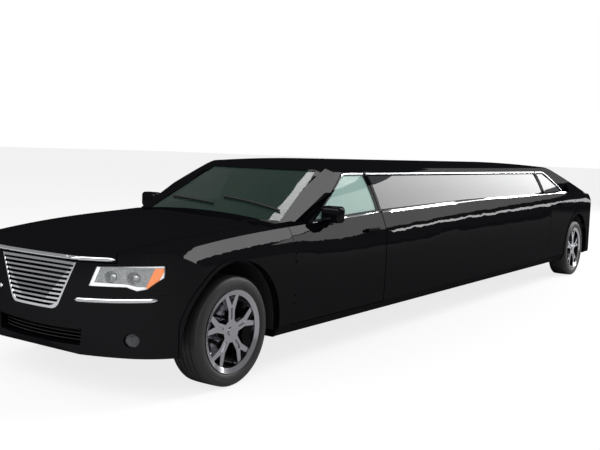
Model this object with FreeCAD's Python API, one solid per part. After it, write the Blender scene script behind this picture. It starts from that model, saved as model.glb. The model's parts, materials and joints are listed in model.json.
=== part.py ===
import FreeCAD, Part
import math
import os

vec = FreeCAD.Vector

# Overall sizes of the car, in millimetres. The front is towards -Y and the left side is +X.
overall_length = 9235.0
body_width = 1902.0
overall_height = 1484.0
wheelbase = 7243.0
front_overhang = 870.0
track_width = 1615.0

# Wheels and tyres
tyre_diameter = 728.0
tyre_width = 245.0
rim_lip_diameter = 548.0
arch_radius = 470.0
hub_bore_radius = 32.0
spindle_clearance = 0.06

# Skins, gaps and glass
side_wall = 78.0
roof_wall = 42.0
lid_wall = 34.0
floor_wall = 46.0
nose_wall = 60.0
shut_gap = 6.0
seat_gap = 0.3
glass_thickness = 6.0
glass_inset = 6.0
overrun = 60.0

# Heights above the ground
sill_height = 252.0
nose_bottom_height = 272.0
door_bottom_height = 318.0
rocker_top_height = 425.0
belt_seam_height = 1020.0
cowl_height = 1050.0
header_height = 1425.0
drip_height = 1398.0

# Lengths along the car, measured from the axles and the shut lines
door_front_offset = 640.0
front_door_length = 1325.0
rear_door_length = 1010.0
rear_door_end_offset = 95.0
windshield_base_offset = 757.0
windshield_rake = 720.0
backlight_base_offset = 640.0
backlight_rake = 1060.0
bumper_seam_offset = 486.0
lid_front_offset = 605.0

# Places worked out from the driving sizes
half_width = body_width / 2
nose_y = -overall_length / 2
tail_y = overall_length / 2
front_axle_y = nose_y + front_overhang
rear_axle_y = front_axle_y + wheelbase
axle_height = tyre_diameter / 2
wheel_x = track_width / 2
door_front_y = front_axle_y + door_front_offset
front_door_end_y = door_front_y + front_door_length
rear_door_end_y = rear_axle_y - rear_door_end_offset
rear_door_front_y = rear_door_end_y - rear_door_length
windshield_base_y = front_axle_y + windshield_base_offset
windshield_top_y = windshield_base_y + windshield_rake
backlight_base_y = rear_axle_y + backlight_base_offset
backlight_top_y = backlight_base_y - backlight_rake
front_seam_y = front_axle_y - bumper_seam_offset
rear_seam_y = rear_axle_y + bumper_seam_offset
lid_front_y = rear_axle_y + lid_front_offset


def line_or_arc(start, step):
    """One edge of an outline: step is an end point, or a middle point and an end point for an arc."""
    if isinstance(step[0], tuple):
        middle, end = step
        return Part.Arc(vec(*start), vec(*middle), vec(*end)).toShape(), end
    return Part.LineSegment(vec(*start), vec(*step)).toShape(), step


def outline_face(points):
    """A flat face round a closed outline of points and arcs."""
    start = points[0]
    edges = []
    here = start
    for step in points[1:]:
        edge, here = line_or_arc(here, step)
        edges.append(edge)
    if here != start:
        edges.append(line_or_arc(here, start)[0])
    return Part.Face(Part.Wire(edges))


def place_points(points, place):
    """The same outline with each flat point put in space by place(a, b)."""
    placed = []
    for step in points:
        if isinstance(step[0], tuple):
            placed.append((place(*step[0]), place(*step[1])))
        else:
            placed.append(place(*step))
    return placed


def side_prism(points, x_from, x_to):
    """A prism with a side view outline of (y, z) points."""
    face = outline_face(place_points(points, lambda y, z: (x_from, y, z)))
    return face.extrude(vec(x_to - x_from, 0, 0))


def front_prism(points, y_from, y_to):
    """A prism with a front view outline of (x, z) points."""
    face = outline_face(place_points(points, lambda x, z: (x, y_from, z)))
    return face.extrude(vec(0, y_to - y_from, 0))


def plan_prism(points, z_from, z_to):
    """A prism with a plan view outline of (x, y) points."""
    face = outline_face(place_points(points, lambda x, y: (x, y, z_from)))
    return face.extrude(vec(0, 0, z_to - z_from))


def block(x_from, x_to, y_from, y_to, z_from, z_to):
    return Part.makeBox(x_to - x_from, y_to - y_from, z_to - z_from, vec(x_from, y_from, z_from))


def rod(start, end, radius):
    """A round bar from one point to another."""
    first = vec(*start)
    way = vec(*end) - first
    return Part.makeCylinder(radius, way.Length, first, way)


def mirrored(shape):
    """The same shape on the other side of the car."""
    return shape.mirror(vec(0, 0, 0), vec(1, 0, 0))


def both_sides(shape):
    return Part.makeCompound([shape, mirrored(shape)])


def largest_solid(shape):
    return max(shape.Solids, key=lambda solid: solid.Volume)


def export(name, shape):
    solids = [solid for solid in shape.Solids if solid.Volume > smallest_scrap]
    if len(solids) == 1:
        result = solids[0]
    else:
        result = Part.makeCompound(solids)
    result.exportStep("parts/" + name + ".step")
    print(name, len(solids), round(result.Volume / 1e6, 3), result.isValid())


smallest_scrap = side_wall ** 3 / 50


# Lower body. Each station has shares of the half width and of the overall height.
crease_mid_share = 0.998
foot_width_share = 0.984
sill_width_share = 0.945
tuck_height = 345.0


def body_stations():
    """Rows of y, crease width, edge width, bottom height, crease height, edge height, crown height."""
    tall = overall_height
    wide = half_width
    return [
        (nose_y - overrun, 0.985 * wide, 0.880 * wide, sill_height, 0.520 * tall, 0.575 * tall, 0.566 * tall),
        (nose_y + 0.35 * front_overhang, 0.990 * wide, 0.900 * wide, sill_height, 0.545 * tall, 0.612 * tall,
         0.650 * tall),
        (front_axle_y, 1.0 * wide, 0.915 * wide, sill_height, 0.560 * tall, 0.655 * tall, 0.702 * tall),
        (windshield_base_y, 1.0 * wide, 0.925 * wide, sill_height, 0.565 * tall, 0.684 * tall, 0.727 * tall),
        (front_door_end_y, 1.0 * wide, 0.930 * wide, sill_height, 0.572 * tall, 0.716 * tall, 0.752 * tall),
        (0.0, 1.0 * wide, 0.930 * wide, sill_height, 0.605 * tall, 0.738 * tall, 0.770 * tall),
        (rear_door_front_y, 1.0 * wide, 0.930 * wide, sill_height, 0.635 * tall, 0.748 * tall, 0.780 * tall),
        (rear_axle_y, 1.0 * wide, 0.915 * wide, sill_height, 0.640 * tall, 0.756 * tall, 0.788 * tall),
        (lid_front_y, 0.990 * wide, 0.890 * wide, sill_height, 0.635 * tall, 0.738 * tall, 0.775 * tall),
        (tail_y + overrun, 0.965 * wide, 0.860 * wide, sill_height, 0.600 * tall, 0.690 * tall, 0.715 * tall),
    ]


def body_section(row, side, top, under):
    """A closed cross section: floor, lower side, shoulder and crown, the sides as arcs."""
    y, crease_x, edge_x, bottom, crease, edge, crown = row
    crease_x = crease_x - side
    edge_x = edge_x - side
    foot_x = foot_width_share * half_width - side
    bottom = bottom + under
    edge = edge - top
    crown = crown - top
    middle = (bottom + crease) / 2
    shoulder = (crease + edge) / 2
    left = [
        Part.Arc(vec(foot_x, y, bottom), vec(crease_mid_share * crease_x, y, middle), vec(crease_x, y, crease)),
        Part.Arc(vec(crease_x, y, crease), vec((crease_x + edge_x) / 2 + 0.012 * half_width, y, shoulder),
                 vec(edge_x, y, edge)),
    ]
    right = [
        Part.Arc(vec(-edge_x, y, edge), vec(-(crease_x + edge_x) / 2 - 0.012 * half_width, y, shoulder),
                 vec(-crease_x, y, crease)),
        Part.Arc(vec(-crease_x, y, crease), vec(-crease_mid_share * crease_x, y, middle), vec(-foot_x, y, bottom)),
    ]
    crown_arc = Part.Arc(vec(edge_x, y, edge), vec(0, y, crown), vec(-edge_x, y, edge))
    floor_line = Part.LineSegment(vec(-foot_x, y, bottom), vec(foot_x, y, bottom))
    return Part.Wire([piece.toShape() for piece in left + [crown_arc] + right + [floor_line]])


# The nose and tail seen from above, as shares of the front overhang and of the half width
face_sag_share = 0.190
face_end_share = 0.700
corner_mid_share = 0.925
corner_mid_run_share = 0.2328
corner_run_share = 0.5591
corner_side_share = 1.008


def plan_limits(inset):
    """The body seen from above: bowed nose and tail with round corners, and the sides left wide."""
    nose = nose_y + inset
    tail = tail_y - inset
    wide = half_width - inset
    sag = face_sag_share * front_overhang
    mid_run = sag + corner_mid_run_share * front_overhang
    run = sag + corner_run_share * front_overhang
    face_x = face_end_share * wide
    mid_x = corner_mid_share * wide
    side_x = corner_side_share * wide
    return [
        (side_x, nose + run),
        (side_x, tail - run),
        ((mid_x, tail - mid_run), (face_x, tail - sag)),
        ((0, tail), (-face_x, tail - sag)),
        ((-mid_x, tail - mid_run), (-side_x, tail - run)),
        (-side_x, nose + run),
        ((-mid_x, nose + mid_run), (-face_x, nose + sag)),
        ((0, nose), (face_x, nose + sag)),
        ((mid_x, nose + mid_run), (side_x, nose + run)),
    ]


def side_limits(inset):
    """The body seen from the side: a face that leans back, an upright tail and rounded bumpers."""
    nose = nose_y + inset
    tail = tail_y - inset
    tall = overall_height
    low = nose_bottom_height + inset
    nose_round = low + 0.30 * (0.290 * tall - low)
    tail_round = low + 0.30 * (0.300 * tall - low)
    return [
        (front_axle_y + 0.5 * arch_radius, 0),
        (front_axle_y + 0.3 * arch_radius, sill_height - overrun),
        (front_axle_y - 0.5 * arch_radius, low),
        (nose + 0.060 * front_overhang, low),
        ((nose + 0.013 * front_overhang, nose_round), (nose, 0.290 * tall)),
        ((nose + 0.012 * front_overhang, 0.440 * tall), (nose + 0.055 * front_overhang, 0.580 * tall)),
        (nose + 0.160 * front_overhang, 0.640 * tall),
        (nose + 0.170 * front_overhang, tall),
        (tail - 0.060 * front_overhang, tall),
        (tail - 0.030 * front_overhang, 0.690 * tall),
        ((tail - 0.052 * front_overhang, 0.600 * tall), (tail - 0.055 * front_overhang, 0.520 * tall)),
        (tail, 0.430 * tall),
        (tail, 0.300 * tall),
        ((tail - 0.013 * front_overhang, tail_round), (tail - 0.060 * front_overhang, low)),
        (rear_axle_y + 0.5 * arch_radius, low),
        (rear_axle_y - 0.3 * arch_radius, sill_height - overrun),
        (rear_axle_y - 0.5 * arch_radius, 0),
    ]


def rocker_limits(inset):
    """The body seen from the front: full width, tucked in along the rocker."""
    foot = sill_width_share * half_width - inset
    wide = half_width + overrun - inset
    slope = (tuck_height - sill_height) / ((1 - sill_width_share) * half_width)
    tuck = sill_height + slope * (wide - foot)
    low = sill_height - slope * overrun
    return [(foot - overrun, low), (wide, tuck), (wide, overall_height), (-wide, overall_height), (-wide, tuck),
            (-foot + overrun, low)]


def body_limits(side, ends):
    plan = plan_prism(plan_limits(ends), 0, overall_height)
    profile = side_prism(side_limits(ends), -body_width, body_width)
    rocker = front_prism(rocker_limits(side), nose_y - 2 * overrun, tail_y + 2 * overrun)
    return plan.common(profile).common(rocker)


def lower_body(side, top, under, ends):
    sections = [body_section(row, side, top, under) for row in body_stations()]
    tube = Part.makeLoft(sections, True, False)
    return tube.common(body_limits(side, ends))


# The raised middle of the bonnet, between two creases that spread from the grille to the windshield
dome_front_share = 0.420
dome_rear_share = 0.660
dome_rise = 7.0
dome_flank = 24.0
dome_root = 20.0


def dome_section(row):
    """A closed section over the crown: two sloping flanks, a bowed top and a bowed underside."""
    y, edge_x, edge, crown = row[0], row[2], row[5], row[6]
    along = min((y - nose_y) / (windshield_base_y - nose_y), 1)
    half = (dome_front_share + along * (dome_rear_share - dome_front_share)) * half_width
    foot = half + dome_flank
    top = crown - (crown - edge) * (half / edge_x) ** 2 + dome_rise
    foot_top = crown - (crown - edge) * (foot / edge_x) ** 2 - dome_rise / 2
    foot_low = foot_top - dome_root
    return Part.Wire([
        Part.LineSegment(vec(foot, y, foot_low), vec(foot, y, foot_top)).toShape(),
        Part.LineSegment(vec(foot, y, foot_top), vec(half, y, top)).toShape(),
        Part.Arc(vec(half, y, top), vec(0, y, crown + dome_rise), vec(-half, y, top)).toShape(),
        Part.LineSegment(vec(-half, y, top), vec(-foot, y, foot_top)).toShape(),
        Part.LineSegment(vec(-foot, y, foot_top), vec(-foot, y, foot_low)).toShape(),
        Part.Arc(vec(-foot, y, foot_low), vec(0, y, crown - dome_root), vec(foot, y, foot_low)).toShape(),
    ])


# Greenhouse: the cabin above the belt
roof_edge_share = 0.625
glass_top_share = 0.725
green_belt_share = 0.918


def green_cross(inset):
    """The cabin cross section: leaning sides, a rounded roof edge and a gently crowned roof."""
    base = green_belt_share * half_width - inset
    top = glass_top_share * half_width - inset
    edge = roof_edge_share * half_width - inset
    low = 0.60 * overall_height
    belt = 0.70 * overall_height
    tall = overall_height - inset
    drip = drip_height - inset
    lean = (base + top) / 2 + 0.018 * half_width
    return [
        (base, low),
        (base, belt),
        ((lean, (belt + drip) / 2), (top, drip)),
        (((top + edge) / 2 + 0.012 * half_width, (drip + tall - 0.026 * tall) / 2 + 0.006 * tall),
         (edge, tall - 0.026 * tall)),
        ((0, tall), (-edge, tall - 0.026 * tall)),
        ((-(top + edge) / 2 - 0.012 * half_width, (drip + tall - 0.026 * tall) / 2 + 0.006 * tall),
         (-top, drip)),
        ((-lean, (belt + drip) / 2), (-base, belt)),
        (-base, low),
    ]


def screen_prism(base_y, rake, base_height, rise, sag, inset, ahead):
    """Everything behind the windshield, or ahead of the rear window: a bowed plan swept along the rake."""
    sign = 1 if ahead else -1
    corner = half_width + overrun
    depth = overall_length
    slope = rise / rake
    base = base_y + sign * inset / math.sin(math.atan(slope))
    points = [
        (-corner, base + sign * sag),
        ((0, base), (corner, base + sign * sag)),
        (corner, base + sign * depth),
        (-corner, base + sign * depth),
    ]
    start = base_height - rise
    face = outline_face(place_points(points, lambda x, y: (x, y - sign * rake, start)))
    return face.extrude(vec(0, sign * 3 * rake, 3 * rise))


windshield_sag = 0.21 * half_width
backlight_sag = 0.16 * half_width


def roof_profile(inset):
    """The roof line seen from the side."""
    tall = overall_height - inset
    front = windshield_top_y
    back = backlight_top_y
    return [
        (windshield_base_y - windshield_rake, 0.5 * overall_height),
        (windshield_base_y - windshield_rake, header_height - inset - 0.11 * overall_height),
        (front, header_height - inset),
        ((front + 0.5 * windshield_rake, tall - 0.010 * tall), (front + 1.25 * windshield_rake, tall)),
        (back - 1.25 * backlight_rake, tall),
        ((back - 0.5 * backlight_rake, tall - 0.008 * tall), (back, header_height - inset)),
        (back + backlight_rake, header_height - inset - 0.11 * overall_height),
        (back + backlight_rake, 0.5 * overall_height),
    ]


def greenhouse(inset):
    tube = front_prism(green_cross(inset), windshield_base_y - windshield_rake, backlight_base_y + backlight_rake)
    rise = header_height - cowl_height
    front = screen_prism(windshield_base_y, windshield_rake, cowl_height, rise, windshield_sag, inset, True)
    back_height = 0.752 * overall_height
    back = screen_prism(backlight_base_y, backlight_rake, back_height, header_height - back_height,
                        backlight_sag, inset, False)
    roof = side_prism(roof_profile(inset), -body_width, body_width)
    return tube.common(front).common(back).common(roof)


def edge_height_at(y):
    """The height of the shoulder edge of the body at y, straight between stations."""
    rows = body_stations()
    for before, after in zip(rows, rows[1:]):
        if y <= after[0]:
            share = (y - before[0]) / (after[0] - before[0])
            return before[5] + share * (after[5] - before[5])
    return rows[-1][5]


# Outlines of the panels. Each takes a gap by which it shrinks, or grows where the gap is negative.
windshield_slope = (header_height - cowl_height) / windshield_rake
pillar_width = 62.0
pillar_window_width = 92.0
frame_width = 40.0
window_top_height = 1364.0
door_top_height = 1388.0
window_sill_rise = 20.0
door_arch_margin = 42.0
quarter_top_offset = 800.0
quarter_bottom_offset = 175.0
belt_shelf_x = 0.830 * half_width
rail_x = roof_edge_share * half_width
floor_edge_x = 0.800 * half_width
green_low = 0.60 * overall_height


def pillar_y(z):
    """Where the rear edge of the front pillar is at height z, seen from the side."""
    return windshield_base_y + windshield_sag * 0.74 + pillar_width + (z - cowl_height) / windshield_slope


def quarter_y(z):
    """Where the sloping rear edge of the rear door frame is at height z."""
    share = (z - belt_seam_height) / (door_top_height - belt_seam_height)
    top_y = rear_axle_y - quarter_top_offset
    bottom_y = rear_axle_y - quarter_bottom_offset + 2 * frame_width
    return bottom_y + share * (top_y - bottom_y)


def front_door_lower(gap):
    return [
        (door_front_y + gap, door_bottom_height + gap),
        (door_front_y + gap, overall_height),
        (front_door_end_y - gap, overall_height),
        (front_door_end_y - gap, door_bottom_height + gap),
    ]


def front_door_upper(gap):
    top = door_top_height - gap
    return [
        (pillar_y(green_low) + 2 * gap, green_low),
        (pillar_y(top) + 2 * gap, top),
        (front_door_end_y - gap, top),
        (front_door_end_y - gap, green_low),
    ]


def rear_door_lower(gap):
    reach = arch_radius + door_arch_margin + gap
    end = rear_door_end_y - gap
    drop = rear_axle_y - end
    diagonal = math.sqrt(0.5) * reach
    return [
        (rear_door_front_y + gap, door_bottom_height + gap),
        (rear_door_front_y + gap, overall_height),
        (end, overall_height),
        (end, axle_height + math.sqrt(reach ** 2 - drop ** 2)),
        ((rear_axle_y - diagonal, axle_height + diagonal), (rear_axle_y - reach, axle_height)),
        (rear_axle_y - reach, door_bottom_height + gap),
    ]


def rear_door_upper(gap):
    top = door_top_height - gap
    return [
        (rear_door_front_y + gap, green_low),
        (rear_door_front_y + gap, top),
        (quarter_y(top) - 2 * gap, top),
        (quarter_y(belt_seam_height) - 2 * gap, belt_seam_height),
        (quarter_y(belt_seam_height) - 2 * gap, green_low),
    ]


def front_window(gap):
    top = window_top_height - gap
    base = edge_height_at(windshield_base_y + 3 * pillar_window_width) + window_sill_rise + gap
    base_back = edge_height_at(front_door_end_y) + window_sill_rise + gap
    ahead = pillar_window_width - pillar_width
    return [
        (pillar_y(base) + ahead + gap, base),
        (pillar_y(top) + ahead + gap, top),
        (front_door_end_y - frame_width - gap, top),
        (front_door_end_y - frame_width - gap, base_back),
    ]


def stretch_window(gap):
    top = window_top_height - gap
    start = front_door_end_y + frame_width + gap
    end = rear_door_front_y - frame_width - gap
    return [
        (start, edge_height_at(start) + window_sill_rise + gap),
        (start, top),
        (end, top),
        (end, edge_height_at(end) + window_sill_rise + gap),
        (0, edge_height_at(0) + window_sill_rise + gap),
    ]


def rear_window_side(gap):
    top = window_top_height - gap
    start = rear_door_front_y + frame_width + gap
    base = edge_height_at(start) + window_sill_rise + gap
    base_back = edge_height_at(rear_door_end_y) + window_sill_rise + gap
    return [
        (start, base),
        (start, top),
        (quarter_y(top) - 1.5 * frame_width - gap, top),
        (quarter_y(base_back) - 2 * frame_width - gap, base_back),
    ]


screen_bottom_height = 1030.0
screen_top_height = 1394.0
screen_bottom_share = 0.715
screen_top_share = 0.565
backlight_bottom_share = 0.740
backlight_top_share = 0.590


def windshield_outline(gap):
    bottom = screen_bottom_share * half_width - gap
    top = screen_top_share * half_width - gap
    return [
        (bottom, screen_bottom_height + gap),
        (top, screen_top_height - gap),
        (-top, screen_top_height - gap),
        (-bottom, screen_bottom_height + gap),
    ]


def backlight_outline(gap):
    bottom = backlight_bottom_share * half_width - gap
    top = backlight_top_share * half_width - gap
    low = overall_height * 0.72
    return [
        (bottom, low),
        (top, screen_top_height - gap),
        (-top, screen_top_height - gap),
        (-bottom, low),
    ]


# Bonnet, boot and front face
hood_rear_offset = 637.0
hood_rear_share = 0.775
hood_mid_share = 0.745
hood_front_share = 0.640
hood_split_height = 845.0
lamp_back_offset = 620.0
lamp_base_height = 662.0


def hood_plan(gap):
    rear = front_axle_y + hood_rear_offset - gap
    return [
        (hood_rear_share * half_width - gap, rear),
        (hood_mid_share * half_width - gap, front_axle_y - 0.1 * front_overhang),
        (hood_front_share * half_width - gap, front_axle_y - 0.82 * front_overhang),
        (hood_front_share * half_width - gap, nose_y - overrun),
        (-hood_front_share * half_width + gap, nose_y - overrun),
        (-hood_front_share * half_width + gap, front_axle_y - 0.82 * front_overhang),
        (-hood_mid_share * half_width + gap, front_axle_y - 0.1 * front_overhang),
        (-hood_rear_share * half_width + gap, rear),
    ]


def hood_zone(gap):
    return plan_prism(hood_plan(gap), hood_split_height + gap, overall_height)


lid_side_share = 0.700
lid_face_height = 700.0
lid_front_gap = 28.0


def lid_zone(gap, front_gap):
    side = lid_side_share * half_width - gap
    front = lid_front_y + front_gap
    plan = [(side, front), (side, tail_y + overrun), (-side, tail_y + overrun), (-side, front)]
    return plan_prism(plan, lid_face_height + gap, overall_height)


grille_top_height = 834.0
grille_bottom_height = 534.0
grille_top_share = 0.372
grille_bottom_share = 0.221
grille_frame = 16.0
grille_bars = 9
grille_depth = 34.0
grille_bar_set_back = 6.0


def grille_outline(gap):
    top = grille_top_share * half_width - gap
    low = grille_bottom_share * half_width - gap
    height = grille_top_height - grille_bottom_height
    corner = 0.16 * height
    slant = (top - low) / height * corner
    return [
        (top, grille_top_height - gap),
        (-top, grille_top_height - gap),
        (-low - slant, grille_bottom_height + corner),
        ((-low + 0.1 * corner, grille_bottom_height + gap + 0.25 * corner),
         (-low + corner, grille_bottom_height + gap)),
        (low - corner, grille_bottom_height + gap),
        ((low - 0.1 * corner, grille_bottom_height + gap + 0.25 * corner), (low + slant,
                                                                          grille_bottom_height + corner)),
    ]


def lamp_outline(gap):
    """The left headlamp seen from the front: a low inner end, a stepped foot and a swept outer tip."""
    tall = overall_height
    wide = half_width
    return [
        (0.460 * wide + gap, 0.471 * tall + gap),
        (0.512 * wide + gap, 0.552 * tall - gap),
        (0.750 * wide - gap, 0.561 * tall - gap),
        (0.890 * wide - gap, 0.565 * tall - gap),
        (0.880 * wide - gap, 0.518 * tall),
        (0.805 * wide - gap, 0.470 * tall + gap),
        (0.752 * wide, 0.461 * tall + gap),
        (0.695 * wide, 0.475 * tall + gap),
    ]


tail_lamp_reach = 330.0
tail_lamp_inner_share = 0.715
tail_lamp_bottom_height = 705.0
tail_lamp_top_height = 965.0


def tail_lamp_outline(gap):
    inner = tail_lamp_inner_share * half_width + gap
    outer = 0.955 * half_width
    return [
        (inner, tail_lamp_bottom_height + gap),
        (inner, tail_lamp_top_height - gap),
        (outer, tail_lamp_top_height - gap),
        (outer, tail_lamp_bottom_height + gap),
    ]


intake_half_width = 385.0
intake_bottom_height = 328.0
intake_top_height = 432.0
intake_slant = 14.0
fog_lamp_x = 694.0
fog_lamp_height = 382.0
fog_lamp_radius = 42.0
fog_lamp_set_back = 14.0
panel_seam = 0.8


print("body shells")
far = body_width
long = overall_length
half_gap = shut_gap / 2
bumper_top_height = 662.0
bulkhead_y = rear_axle_y - arch_radius - nose_wall
green_front_low = 1000.0
green_rear_low = 1064.0
lower_outer = lower_body(0, 0, 0, 0)
lower_inner = lower_body(side_wall, lid_wall, floor_wall, nose_wall)
green_outer = greenhouse(0)
green_inner = greenhouse(roof_wall)
well_inner_x = 440.0
arch_cylinders = [
    rod((sign * well_inner_x, axle_y, axle_height), (sign * far, axle_y, axle_height), arch_radius)
    for sign in (1, -1) for axle_y in (front_axle_y, rear_axle_y)
]
lower_shell = lower_outer.cut(lower_inner).cut([green_inner] + arch_cylinders)
green_trim = [
    block(-far, far, bulkhead_y, long, 0, green_rear_low),
    block(-far, far, -long, door_front_y, 0, overall_height * 2),
    block(-floor_edge_x, floor_edge_x, -long, 0, 0, green_front_low),
]
green_shell = green_outer.cut([green_inner] + green_trim)
pane_shell = greenhouse(glass_inset).cut(greenhouse(glass_inset + glass_thickness))
lip_proud = 6.0
lip_width = 26.0
lip_start_x = 0.90 * half_width
swollen = lower_body(-lip_proud, 0, 0, -lip_proud)


def arch_lip(axle_y, start_y, end_y):
    """A raised rim round a wheel arch, between two planes across the car."""
    outer = rod((lip_start_x, axle_y, axle_height), (far, axle_y, axle_height), arch_radius + lip_width)
    inner = rod((lip_start_x, axle_y, axle_height), (far, axle_y, axle_height), arch_radius)
    return swollen.common(outer.cut([inner])).common(block(0, far, start_y, end_y, 0, overall_height))


def wall_x(y, z):
    """How far out the body side is at y and height z."""
    probe = block(0, far, y - seat_gap, y + seat_gap, z - seat_gap, z + seat_gap)
    return max(corner.X for corner in lower_outer.common(probe).Vertexes)


def deck_height(x, y):
    """How high the top of the lower body is at x and y."""
    probe = block(x - seat_gap, x + seat_gap, y - seat_gap, y + seat_gap, 0, overall_height)
    return max(corner.Z for corner in lower_outer.common(probe).Vertexes)


# Door hinges: a barrel on the door between two ears of a fixed arm, with a pin through all three
hinge_barrel_radius = 6.0
hinge_pin_radius = 3.0
hinge_pin_clearance = 0.05
hinge_barrel_length = 44.0
hinge_ear_thickness = 7.0
hinge_ear_gap = 0.3
hinge_skin_depth = 8.0
hinge_notch_margin = 6.0
hinge_low_height = 500.0
hinge_mid_height = 680.0
hinge_high_height = 800.0
hinge_pillar_wall = 62.0
door_bevel = 12.0
hinge_set_back = 2.0


def hinge_spot(door_edge_y):
    """The hinge line of a door: just inside the widest skin, at the door's own front edge."""
    widest = max(wall_x(door_edge_y, height) for height in (hinge_low_height, hinge_mid_height, hinge_high_height))
    return widest - hinge_skin_depth, door_edge_y + hinge_set_back


def hinge_heights():
    return [hinge_low_height, hinge_high_height]


def hinge_barrel(x, y, z):
    """The door's part: a bored barrel on a small web that reaches back into the door."""
    low = z - hinge_barrel_length / 2
    barrel = Part.makeCylinder(hinge_barrel_radius, hinge_barrel_length, vec(x, y, low))
    web = block(x - hinge_barrel_radius, x, y, y + 3 * hinge_barrel_radius, low, low + hinge_barrel_length)
    return barrel.fuse([web])


def hinge_bore(x, y, z):
    radius = hinge_pin_radius + hinge_pin_clearance
    return Part.makeCylinder(radius, 2 * hinge_barrel_length, vec(x, y, z - hinge_barrel_length))


def hinge_notch(x, y, z):
    """Room in the door's front face for the two ears."""
    rooms = []
    for sign in (1, -1):
        inner = z + sign * hinge_barrel_length / 2
        outer = inner + sign * (hinge_ear_gap + hinge_ear_thickness + hinge_notch_margin)
        rooms.append(block(x - 3 * side_wall, x + 2 * hinge_notch_margin, y - 2 * hinge_notch_margin,
                           y + hinge_barrel_radius + hinge_notch_margin, min(inner, outer), max(inner, outer)))
    return rooms


def hinge_arm(x, y, z, pillar_x):
    """The fixed part: two ears from the pillar, and the pin."""
    parts = []
    for sign in (1, -1):
        inner = z + sign * (hinge_barrel_length / 2 + hinge_ear_gap)
        outer = inner + sign * hinge_ear_thickness
        low = min(inner, outer)
        ear = block(pillar_x, x, y - hinge_barrel_radius, y + hinge_barrel_radius, low,
                    low + hinge_ear_thickness)
        parts.append(ear)
        parts.append(Part.makeCylinder(hinge_barrel_radius, hinge_ear_thickness, vec(x, y, low)))
    reach = hinge_barrel_length + 2 * (hinge_ear_gap + hinge_ear_thickness)
    parts.append(Part.makeCylinder(hinge_pin_radius, reach, vec(x, y, z - reach / 2)))
    return parts


front_hinge_x, front_hinge_y = hinge_spot(door_front_y + half_gap)
rear_hinge_x, rear_hinge_y = hinge_spot(rear_door_front_y + half_gap)
print("front door hinge", front_hinge_x, front_hinge_y)
print("rear door hinge", rear_hinge_x, rear_hinge_y)


print("body side")
screen_frame_half = screen_bottom_share * half_width
body_start_y = door_front_y - half_gap + panel_seam
side_lower_zone = block(floor_edge_x, far, body_start_y, rear_seam_y, 0, overall_height)
tail_zone = block(panel_seam / 2, far, rear_seam_y - half_gap, long, bumper_top_height, overall_height)
side_lower = lower_shell.common(side_lower_zone.fuse([tail_zone]))
screen_holes = [
    front_prism(windshield_outline(0), windshield_base_y - windshield_rake, windshield_top_y + windshield_rake / 2),
    front_prism(backlight_outline(0), backlight_top_y - backlight_rake / 3, backlight_base_y + backlight_rake),
]
green_side = green_shell.common(block(rail_x, far, -long, long, green_low, 2 * overall_height)).cut(screen_holes)
lid_hole = lid_zone(-half_gap, -lid_front_gap)
tail_lamp_hole = front_prism(tail_lamp_outline(0), tail_y - tail_lamp_reach, tail_y + overrun)
openings = [
    side_prism(front_door_lower(-half_gap), belt_shelf_x, far),
    side_prism(front_door_upper(-half_gap), rail_x, far),
    side_prism(rear_door_lower(-half_gap), belt_shelf_x, far),
    side_prism(rear_door_upper(-half_gap), rail_x, far),
    side_prism(stretch_window(0), rail_x, far),
    lid_hole,
    tail_lamp_hole,
    block(-screen_frame_half, screen_frame_half, -long, 0, 0, screen_bottom_height),
]
side_solid = side_lower.fuse([green_side]).cut(openings)
rocker = block(floor_edge_x, floor_edge_x + side_wall, body_start_y, rear_axle_y - arch_radius - seat_gap,
               sill_height + floor_wall / 2, rocker_top_height)
additions = [rocker, arch_lip(rear_axle_y, 0, rear_seam_y)]
for hinge_x, hinge_y in ((front_hinge_x, front_hinge_y), (rear_hinge_x, rear_hinge_y)):
    pillar = block(floor_edge_x, floor_edge_x + hinge_pillar_wall, hinge_y - hinge_pillar_wall / 2,
                   hinge_y + hinge_pillar_wall / 2, sill_height + floor_wall, green_low)
    additions.append(pillar)
    for z in hinge_heights():
        additions.extend(hinge_arm(hinge_x, hinge_y, z, floor_edge_x + hinge_pillar_wall / 2))
jack_pad_size = 60.0
jack_pad_depth = 10.0
jack_pad_x = 0.885 * half_width
jack_front_y = door_front_y + 0.24 * front_door_length
jack_rear_y = rear_door_front_y + 0.30 * rear_door_length
for pad_y in (jack_front_y, jack_rear_y):
    additions.append(block(jack_pad_x - jack_pad_size / 2, jack_pad_x + jack_pad_size / 2, pad_y - jack_pad_size / 2,
                           pad_y + jack_pad_size / 2, sill_height - jack_pad_depth, sill_height + floor_wall / 2))
body_side = side_solid.fuse(additions).removeSplitter()


print("doors")


def shut_zone(front_y, end_y, hinge_x):
    """The plan view of a door: a bevelled front outer edge and a rear face that slants inwards."""
    bevel_x = hinge_x + hinge_skin_depth - door_bevel
    return plan_prism([
        (0, front_y), (bevel_x, front_y), (bevel_x + 3 * door_bevel, front_y + 3 * door_bevel),
        (far, front_y + 3 * door_bevel), (far, end_y), (half_width - side_wall, end_y - shut_gap),
        (0, end_y - 10 * shut_gap)], 0, 2 * overall_height)


quarter_bevel_reach = 100.0


def quarter_bevel():
    """Slants the sloping rear edge of a rear door frame, so that it leaves the body as it swings."""
    top = door_top_height
    low_y = quarter_y(belt_seam_height) - shut_gap
    high_y = quarter_y(top) - shut_gap
    low_x = green_belt_share * half_width
    high_x = glass_top_share * half_width
    corners = [
        vec(low_x, low_y, belt_seam_height), vec(high_x, high_y, top),
        vec(high_x, high_y + arch_radius, top), vec(low_x, low_y + arch_radius, belt_seam_height)]
    face = Part.Face(Part.makePolygon(corners + corners[:1]))
    return face.extrude(vec(-quarter_bevel_reach, -quarter_bevel_reach, 0))


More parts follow.
